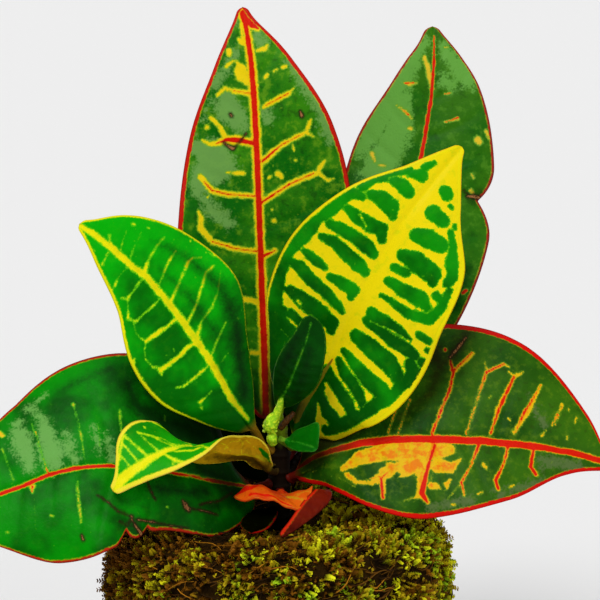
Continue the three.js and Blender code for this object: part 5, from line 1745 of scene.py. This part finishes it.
def make_moss_tone(name):
    """Greens and browns of a moss sprig from its own tone, with painted shade low on it."""
    group, wires, given, out = new_group(
        name,
        [("Coordinates", "vector"), ("Tone", "value"), ("Tip", "value"), ("Lime", "color"),
         ("Olive", "color"), ("Brown", "color")],
        [("Colour", "color")],
    )
    patches = wires.noise(given["Coordinates"], 70, 3, 0.6)
    tone = wires.plus(given["Tone"], wires.times(patches, 0.5))
    colour = wires.mix(wires.ramp(tone, 0.48, 0.7), given["Brown"], given["Olive"])
    fresh = wires.ramp(wires.noise(given["Coordinates"], 45, 2, 0.5), 0.48, 0.62)
    lime = wires.mix(fresh, given["Lime"], MOSS_FRESH)
    colour = wires.mix(wires.ramp(tone, 0.72, 1.0), colour, lime)
    # Painted shade among the sprigs: darkest at each sprig's foot.
    shade = wires.ramp(given["Tip"], 0.0, 0.7, 0.85, 0.0)
    colour = wires.mix(shade, colour, MOSS_SHADE)
    wires.link(colour, out["Colour"])
    return group


def moss_sprig_material():
    settings = bpy.context.scene.croton.moss
    material, wires, shader = new_material("moss_sprig_finish")
    tone = wires.attribute("tone")
    values = {
        "Coordinates": wires.object_coordinates(), "Tone": tone, "Tip": wires.attribute("tip"),
        "Lime": tuple(settings.lime), "Olive": tuple(settings.olive), "Brown": MOSS_BROWN,
    }
    toned = grouped(wires, once("moss tone", make_moss_tone), values)
    wires.dress(shader, toned["Colour"], wires.ramp(tone, 0.0, 1.0, 0.7, 0.9), 0.05)
    return material


def strand_material():
    found = bpy.data.materials.get("moss_strand_finish")
    if found:
        return found
    material, wires, shader = new_material("moss_strand_finish")
    tone = wires.attribute("tone")
    colour = wires.mix(wires.ramp(tone, 0.35, 0.75), *STRAND_COLOURS[:2])
    colour = wires.mix(wires.ramp(tone, 0.85, 0.95), colour, STRAND_COLOURS[2])
    wires.dress(shader, colour, wires.ramp(tone, 0.0, 1.0, 0.75, 0.9), 0.05)
    return material


SOIL_PROFILE = [
    (0, 5.8), (33.1, 5.8), (42.6, 51), (46.6, 56), (48.6, 70), (50.5, 73), (50.5, 80),
    (47.5, 89), (44.5, 93.7), (39.5, 97.2), (27.5, 96.2), (9, 95.9), (4.3, 95.6), (4.3, 71.7),
    (0, 71.7),
]


def build_root_ball():
    piece = turned_piece("soil_ball", stepped(SOIL_PROFILE, 1.2), sides=96)
    points = vertex_array(piece.data) / MM
    crumb = np.sin(points[:, 0] * 2.3) * np.sin(points[:, 1] * 2.1 + 0.7)
    crumb = crumb + 0.5 * np.sin(points[:, 0] * 5.1 + 1) * np.sin(points[:, 1] * 4.7)
    radius = np.hypot(points[:, 0], points[:, 1])
    open_top = (points[:, 2] > 95) & (radius > 4.5) & (radius < 26)
    points[:, 2] += np.where(open_top, 0.45 * crumb, 0)
    set_vertices(piece.data, points * MM)
    piece.data.materials.append(soil_material())
    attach(piece, "root")
    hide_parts("root_ball")


def soil_material():
    material, wires, shader = new_material("damp_soil")
    place = wires.object_coordinates()
    crumbs = wires.noise(place, 700, 5, 0.65)
    flecks = wires.noise(place, 1500, 1)
    colour = wires.mix(wires.ramp(crumbs, 0.35, 0.7), *SOIL_COLOURS[:2])
    colour = wires.mix(wires.ramp(flecks, 0.72, 0.76), colour, SOIL_COLOURS[2])
    rough = wires.ramp(crumbs, 0.3, 0.7, 0.8, 1.0)
    wires.dress(shader, colour, rough, 0.5, (crumbs, 1.0, 0.001))
    return material


# ---------------------------------------------------------------- stem

STEM_SCARS = (104, 110, 115, 120, 126)  # heights of the leaf scars, in millimetres
# The stem is near black below its pale top: its dark bark, and painted shade of the crowded centre.
STEM_COLOURS = ((0.003, 0.001, 0.0), (0.006, 0.003, 0.001), (0.2, 0.3, 0.008))
STEM_SHADE = (0.012, 0.006, 0.002)

# Pixel across, pixel down, place along the view's depth and radius in millimetres.
SHOOT = [
    (282.5, 396, -8.6, 0.7), (281, 401, -8.0, 1.05), (279, 408, -7.0, 1.3), (276, 415, -6.2, 1.6),
    (272, 421, -5.6, 2.4), (270.5, 427, -5.2, 2.5), (272, 433, -4.9, 1.5),
    (272, 439, -4.7, 1.9), (274, 446, -4.0, 1.1),
]
OLD_STALK = [
    (286, 478, 0.5, 1.8), (291, 472, 2.5, 2.2), (296, 465, 4.5, 2.3), (301, 458, 6.5, 2.1),
    (305, 452, 8.0, 1.5),
]
STUB = [
    (294, 412, -5.4, 0.7), (291, 416, -5.0, 0.95), (287, 420, -4.2, 1.1), (283, 425, -3.2, 1.2),
    (280, 429, -2.4, 1.0),
]
KNOBS = [
    (267, 422, -6.3, 0.7), (264.5, 426, -5.8, 0.8), (264, 431, -5.4, 0.6), (268, 425, -7.3, 0.6),
    (278, 422, -6.2, 0.45), (268, 437, -5.2, 0.5), (276, 431, -6.0, 0.5),
]

# Piece, rows, material, its colour, its darker colour and its gloss.
SPROUTS = (
    ("growing_shoot", SHOOT, "shoot_finish", (0.78, 1.0, 0.03), (0.3, 0.66, 0.01), 0.15),
    ("petiole_stub", STUB, "stub_finish", (0.16, 0.05, 0.008), (0.05, 0.02, 0.004), 0.2),
    (
        "old_stalk", OLD_STALK, "old_stalk_finish",
        (0.012, 0.005, 0.001), (0.004, 0.002, 0.001), 0.05,
    ),
)


def stem_profile():
    profile = [(0, 72), (3.6, 72), (3.9, 98)]
    for z in STEM_SCARS:
        profile += [(3.7, z - 1.2), (3.95, z - 0.5), (4.1, z), (3.85, z + 0.4), (3.7, z + 1)]
    profile += [(3.6, 129), (3.1, 131.5), (2.7, 133.5), (2.9, 135), (2.2, 137.5), (1.4, 138.5)]
    return profile + [(0, 138.5)]


def build_stem():
    piece = turned_piece("stem_bark", stepped(stem_profile(), 0.7), sides=48)
    points = vertex_array(piece.data)
    angle = np.arctan2(points[:, 1], points[:, 0])
    z = points[:, 2] / MM
    ridge = 0.12 * np.sin(5 * angle + 0.2 * z) + 0.06 * np.sin(11 * angle - 0.35 * z)
    radius = np.maximum(np.hypot(points[:, 0], points[:, 1]), 1e-6)
    points[:, :2] *= (1 + np.where(radius > 0.001, ridge * MM / radius, 0))[:, None]
    set_vertices(piece.data, points)
    piece.data.materials.append(stem_material())
    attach(piece, "root")
    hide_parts("stem")
    for name, rows, finish, colour, deep, gloss in SPROUTS:
        build_sprout(name, rows, shoot_material(finish, colour, deep, gloss))
    build_knobs(shoot_material("knob_finish", (0.9, 1.0, 0.06), (0.5, 0.85, 0.02), 0.4))


def photo_point(across, down, depth):
    """Point in metres that the photograph shows at a pixel, at this place along the Y axis."""
    ahead = VIEW_AHEAD + np.array([1.0, 0, 0]) * (across - PHOTO_SIZE / 2) / FOCAL_PIXELS
    ahead = ahead + VIEW_UP * (PHOTO_SIZE / 2 - down) / FOCAL_PIXELS
    return CAMERA_PLACE + ahead * (depth * MM - CAMERA_PLACE[1]) / ahead[1]


def build_sprout(name, rows, material, sides=24):
    """A round, tapered shoot through the rows, closed at both ends, with a knobbly skin."""
    marks = [(*photo_point(*row[:3]) / MM, row[3]) for row in rows]
    steps = np.linspace(0, 1, 12 * len(rows))
    points, tangents = curve_at(marks, steps)
    tangent = unit(tangents[:, :3])
    first = unit(np.cross(tangent, VIEW_AHEAD))
    second = np.cross(tangent, first)
    angle = np.linspace(0, 2 * math.pi, sides + 1)
    closing = np.sqrt(np.clip(np.minimum(steps, 1 - steps) / 0.03, 0, 1))
    knobbly = 1 + 0.05 * np.sin(3 * angle[None, :] + 40 * steps[:, None])
    radius = (points[:, 3] * closing)[:, None] * knobbly
    ring = np.cos(angle)[None, :, None] * first[:, None]
    ring = ring + np.sin(angle)[None, :, None] * second[:, None]
    positions = (points[:, None, :3] + radius[..., None] * ring) * MM
    piece = grid_piece(name, positions, {})
    piece.data.materials.append(material)
    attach(piece, "root")


def build_knobs(material):
    """Small knobs round the growing tip, glossier than the shoot, painted lighter as highlights."""
    shape = bmesh.new()
    for *place, radius in KNOBS:
        knob = bmesh.ops.create_icosphere(shape, subdivisions=3, radius=radius * MM)["verts"]
        bmesh.ops.translate(shape, verts=knob, vec=photo_point(*place))
    mesh = mesh_of("tip_knobs", shape)
    mesh.shade_smooth()
    piece = placed("tip_knobs", mesh)
    piece.data.materials.append(material)
    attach(piece, "root")


def shoot_material(name, colour, deep, gloss):
    """Skin of a young shoot, mottled between two colours."""
    material, wires, shader = new_material(name)
    grain = wires.noise(wires.object_coordinates(), 1100, 3, 0.6)
    tone = wires.mix(wires.ramp(grain, 0.4, 0.7), deep, colour)
    rough = wires.ramp(grain, 0.3, 0.7, 0.3, 0.55)
    wires.dress(shader, tone, rough, gloss, (grain, 0.5, 0.0004))
    return material


def stem_material():
    material, wires, shader = new_material("stem_finish")
    place = wires.object_coordinates()
    grain = wires.noise(place, 900, 3, 0.6)
    mottling = wires.noise(place, 260, 3)
    z = wires.plus(wires.height_of(place), wires.times(mottling, 0.004))
    colour = wires.mix(wires.ramp(z, 0.1, 0.12), *STEM_COLOURS[:2])
    colour = wires.mix(wires.ramp(z, 0.13, 0.1365), colour, STEM_COLOURS[2])
    colour = wires.mix(wires.times(grain, 0.35), colour, STEM_SHADE)
    rough = wires.ramp(grain, 0.3, 0.7, 0.6, 0.8)
    wires.dress(shader, colour, rough, 0.05, (grain, 0.4, 0.0004))
    return material


# ---------------------------------------------------------------- stage

# Light, direction, share of the main light's strength and spread in degrees.
LIGHTS = (
    ("key_light", (0.35, 0.85, -1.3), 1.0, 25),
    ("fill_light", (-0.8, 1.0, -0.6), 0.25, 40),
    ("top_light", (0.0, -0.3, -1.0), 0.22, 40),
)


def sun_light(name, aim, strength, spread):
    """A broad, far light that shines along aim."""
    light = bpy.data.lights.new(name, "SUN")
    light.energy = strength
    light.angle = math.radians(spread)
    turn = math.atan2(-aim[0], aim[1])
    tilt = math.atan2(math.hypot(aim[0], aim[1]), -aim[2])
    placed(name, light).rotation_euler = (tilt, 0, turn)


def build_stage():
    settings = bpy.context.scene.croton.stage
    scene = bpy.context.scene
    scene.view_settings.view_transform = "Standard"
    shape = bmesh.new()
    bmesh.ops.create_grid(shape, x_segments=1, y_segments=1, size=8)
    floor = placed("studio_floor", mesh_of("studio_floor", shape))
    material, _, shader = new_material("pale_floor")
    shader.inputs["Base Color"].default_value = (*settings.floor, 1)
    shader.inputs["Roughness"].default_value = 0.9
    shader.inputs["Specular IOR Level"].default_value = 0.0
    floor.data.materials.append(material)

    world = bpy.data.worlds.new("studio_world")
    world.use_nodes = True
    background = world.node_tree.nodes["Background"].inputs
    background["Color"].default_value = (1, 1, 1, 1)
    background["Strength"].default_value = settings.ambient
    scene.world = world
    for name, aim, share, spread in LIGHTS:
        sun_light(name, aim, settings.key_strength * share, spread)

    lens = bpy.data.cameras.new("photo_camera")
    lens.sensor_width = SENSOR_WIDTH
    lens.lens = FOCAL_PIXELS * SENSOR_WIDTH / PHOTO_SIZE
    lens.clip_start = 0.05
    lens.clip_end = 40
    camera = placed("photo_camera", lens)
    camera.location = CAMERA_PLACE
    camera.rotation_euler = (math.pi / 2 - VIEW_DOWN, 0, 0)
    scene.camera = camera


# ---------------------------------------------------------------- settings


class CrotonLeafSettings(bpy.types.PropertyGroup):
    """Sizes and colours of the leaves."""

    grain: FloatProperty(
        name="Mesh Step", description="Spacing of the points on a leaf",
        default=0.00055, min=0.0003, max=0.003, precision=5, unit="LENGTH",
    )
    blade_thickness: FloatProperty(
        name="Blade Thickness", description="Thickness of a leaf between its veins",
        default=BLADE_THICKNESS * MM, min=0.0002, max=0.002, precision=5, unit="LENGTH",
    )
    raggedness: FloatProperty(
        name="Raggedness", description="How far the colour edges wander, in millimetres",
        default=1.1, min=0.0, max=4.0,
    )
    gloss: FloatProperty(
        name="Gloss", description="Strength of the reflection on the leaves",
        default=0.05, min=0.0, max=1.0, subtype="FACTOR",
    )
    blush: FloatVectorProperty(
        name="Vein Red", description="Colour of the red veins",
        default=RED, min=0.0, max=1.0, size=3, subtype="COLOR",
    )


class CrotonMossSettings(bpy.types.PropertyGroup):
    """Amount and colours of the moss."""

    seed: IntProperty(name="Seed", description="Seed of the moss sprigs", default=7, min=0)
    feathers: IntProperty(
        name="Feathery Clumps", description="Clumps of feathery shoots per layer", default=330, min=1
    )
    lobes: IntProperty(
        name="Leafy Clumps", description="Clumps of small rounded leaves per layer", default=300, min=1
    )
    strands: IntProperty(
        name="Strands", description="Dry strands across the moss", default=1500, min=1
    )
    hairs: IntProperty(name="Hairs", description="Stray hairs of the moss", default=420, min=1)
    lime: FloatVectorProperty(
        name="Fresh Green", description="Colour of the fresh moss",
        default=(0.8, 0.8, 0.012), min=0.0, max=1.0, size=3, subtype="COLOR",
    )
    olive: FloatVectorProperty(
        name="Olive", description="Colour of the older moss",
        default=(0.46, 0.34, 0.006), min=0.0, max=1.0, size=3, subtype="COLOR",
    )


class CrotonPotSettings(bpy.types.PropertyGroup):
    """Finish of the clay pot."""

    clay: FloatVectorProperty(
        name="Clay", description="Colour of the fired clay",
        default=(0.5, 0.19, 0.085), min=0.0, max=1.0, size=3, subtype="COLOR",
    )
    salt: FloatProperty(
        name="Salt Bloom", description="Amount of pale salt on the clay",
        default=0.5, min=0.0, max=1.0, subtype="FACTOR",
    )


class CrotonStageSettings(bpy.types.PropertyGroup):
    """Floor and light of the studio."""

    floor: FloatVectorProperty(
        name="Floor", description="Colour of the studio floor",
        default=(0.885, 0.885, 0.885), min=0.0, max=1.0, size=3, subtype="COLOR",
    )
    ambient: FloatProperty(
        name="Ambient", description="Strength of the light from all round", default=0.3, min=0.0
    )
    key_strength: FloatProperty(
        name="Key Light", description="Strength of the main light", default=1.85, min=0.0
    )


class CrotonSettings(bpy.types.PropertyGroup):
    """All settings of the plant."""

    leaf: PointerProperty(type=CrotonLeafSettings)
    moss: PointerProperty(type=CrotonMossSettings)
    pot: PointerProperty(type=CrotonPotSettings)
    stage: PointerProperty(type=CrotonStageSettings)


# ---------------------------------------------------------------- operators


def build_leaves(slot):
    names = [name for name, finish in LEAF_FINISHES.items() if finish["slot"] == slot]
    for name in names:
        build_leaf(name, bpy.context.scene.croton.leaf)


class CROTON_OT_red_veined_leaves(bpy.types.Operator):
    """Build the dark green leaves with red veins"""

    bl_idname = "croton.red_veined_leaves"
    bl_label = "Red-veined Leaves"

    def execute(self, context):
        build_leaves("leaf_red_vein")
        return {"FINISHED"}


class CROTON_OT_yellow_veined_leaves(bpy.types.Operator):
    """Build the green leaves with yellow veins"""

    bl_idname = "croton.yellow_veined_leaves"
    bl_label = "Yellow-veined Leaves"

    def execute(self, context):
        build_leaves("leaf_yellow_vein")
        return {"FINISHED"}


class CROTON_OT_young_leaves(bpy.types.Operator):
    """Build the small plain green leaves at the growing tip"""

    bl_idname = "croton.young_leaves"
    bl_label = "Young Leaves"

    def execute(self, context):
        build_leaves("leaf_young")
        return {"FINISHED"}


class CROTON_OT_red_leaves(bpy.types.Operator):
    """Build the small red and orange leaves low on the stem"""

    bl_idname = "croton.red_leaves"
    bl_label = "Red Leaves"

    def execute(self, context):
        build_leaves("leaf_red")
        return {"FINISHED"}


class CROTON_OT_stem(bpy.types.Operator):
    """Build the stem with its leaf scars and growing tip"""

    bl_idname = "croton.stem"
    bl_label = "Stem"

    def execute(self, context):
        build_stem()
        return {"FINISHED"}


class CROTON_OT_moss(bpy.types.Operator):
    """Build the moss bed and its sprigs"""

    bl_idname = "croton.moss"
    bl_label = "Moss"

    def execute(self, context):
        build_moss_bed()
        build_moss_sprigs()
        return {"FINISHED"}


class CROTON_OT_root_ball(bpy.types.Operator):
    """Build the soil inside the moss"""

    bl_idname = "croton.root_ball"
    bl_label = "Root Ball"

    def execute(self, context):
        build_root_ball()
        return {"FINISHED"}


class CROTON_OT_pot(bpy.types.Operator):
    """Build the clay pot"""

    bl_idname = "croton.pot"
    bl_label = "Pot"

    def execute(self, context):
        build_pot()
        return {"FINISHED"}


class CROTON_OT_stage(bpy.types.Operator):
    """Set up the floor, lights and camera"""

    bl_idname = "croton.stage"
    bl_label = "Stage"

    def execute(self, context):
        build_stage()
        return {"FINISHED"}


OPERATORS = (
    CROTON_OT_stage,
    CROTON_OT_pot,
    CROTON_OT_root_ball,
    CROTON_OT_moss,
    CROTON_OT_stem,
    CROTON_OT_red_veined_leaves,
    CROTON_OT_yellow_veined_leaves,
    CROTON_OT_young_leaves,
    CROTON_OT_red_leaves,
)


class CROTON_PT_panel(bpy.types.Panel):
    """Lists the settings and the build steps of the croton"""

    bl_idname = "CROTON_PT_panel"
    bl_label = "Potted Croton"
    bl_space_type = "VIEW_3D"
    bl_region_type = "UI"
    bl_category = "Croton"

    def draw(self, context):
        settings = context.scene.croton
        for part in (settings.leaf, settings.moss, settings.pot, settings.stage):
            box = self.layout.box()
            for key in part.__annotations__:
                box.prop(part, key)
        for operator in OPERATORS:
            self.layout.operator(operator.bl_idname)


CLASSES = (
    CrotonLeafSettings,
    CrotonMossSettings,
    CrotonPotSettings,
    CrotonStageSettings,
    CrotonSettings,
    *OPERATORS,
    CROTON_PT_panel,
)


def register():
    for item in CLASSES:
        bpy.utils.register_class(item)
    bpy.types.Scene.croton = PointerProperty(type=CrotonSettings)


def unregister():
    del bpy.types.Scene.croton
    for item in reversed(CLASSES):
        bpy.utils.unregister_class(item)


def main():
    register()
    for step in (
        bpy.ops.croton.stage,
        bpy.ops.croton.pot,
        bpy.ops.croton.root_ball,
        bpy.ops.croton.moss,
        bpy.ops.croton.stem,
        bpy.ops.croton.red_veined_leaves,
        bpy.ops.croton.yellow_veined_leaves,
        bpy.ops.croton.young_leaves,
        bpy.ops.croton.red_leaves,
    ):
        step()


if __name__ == "__main__":
    main()
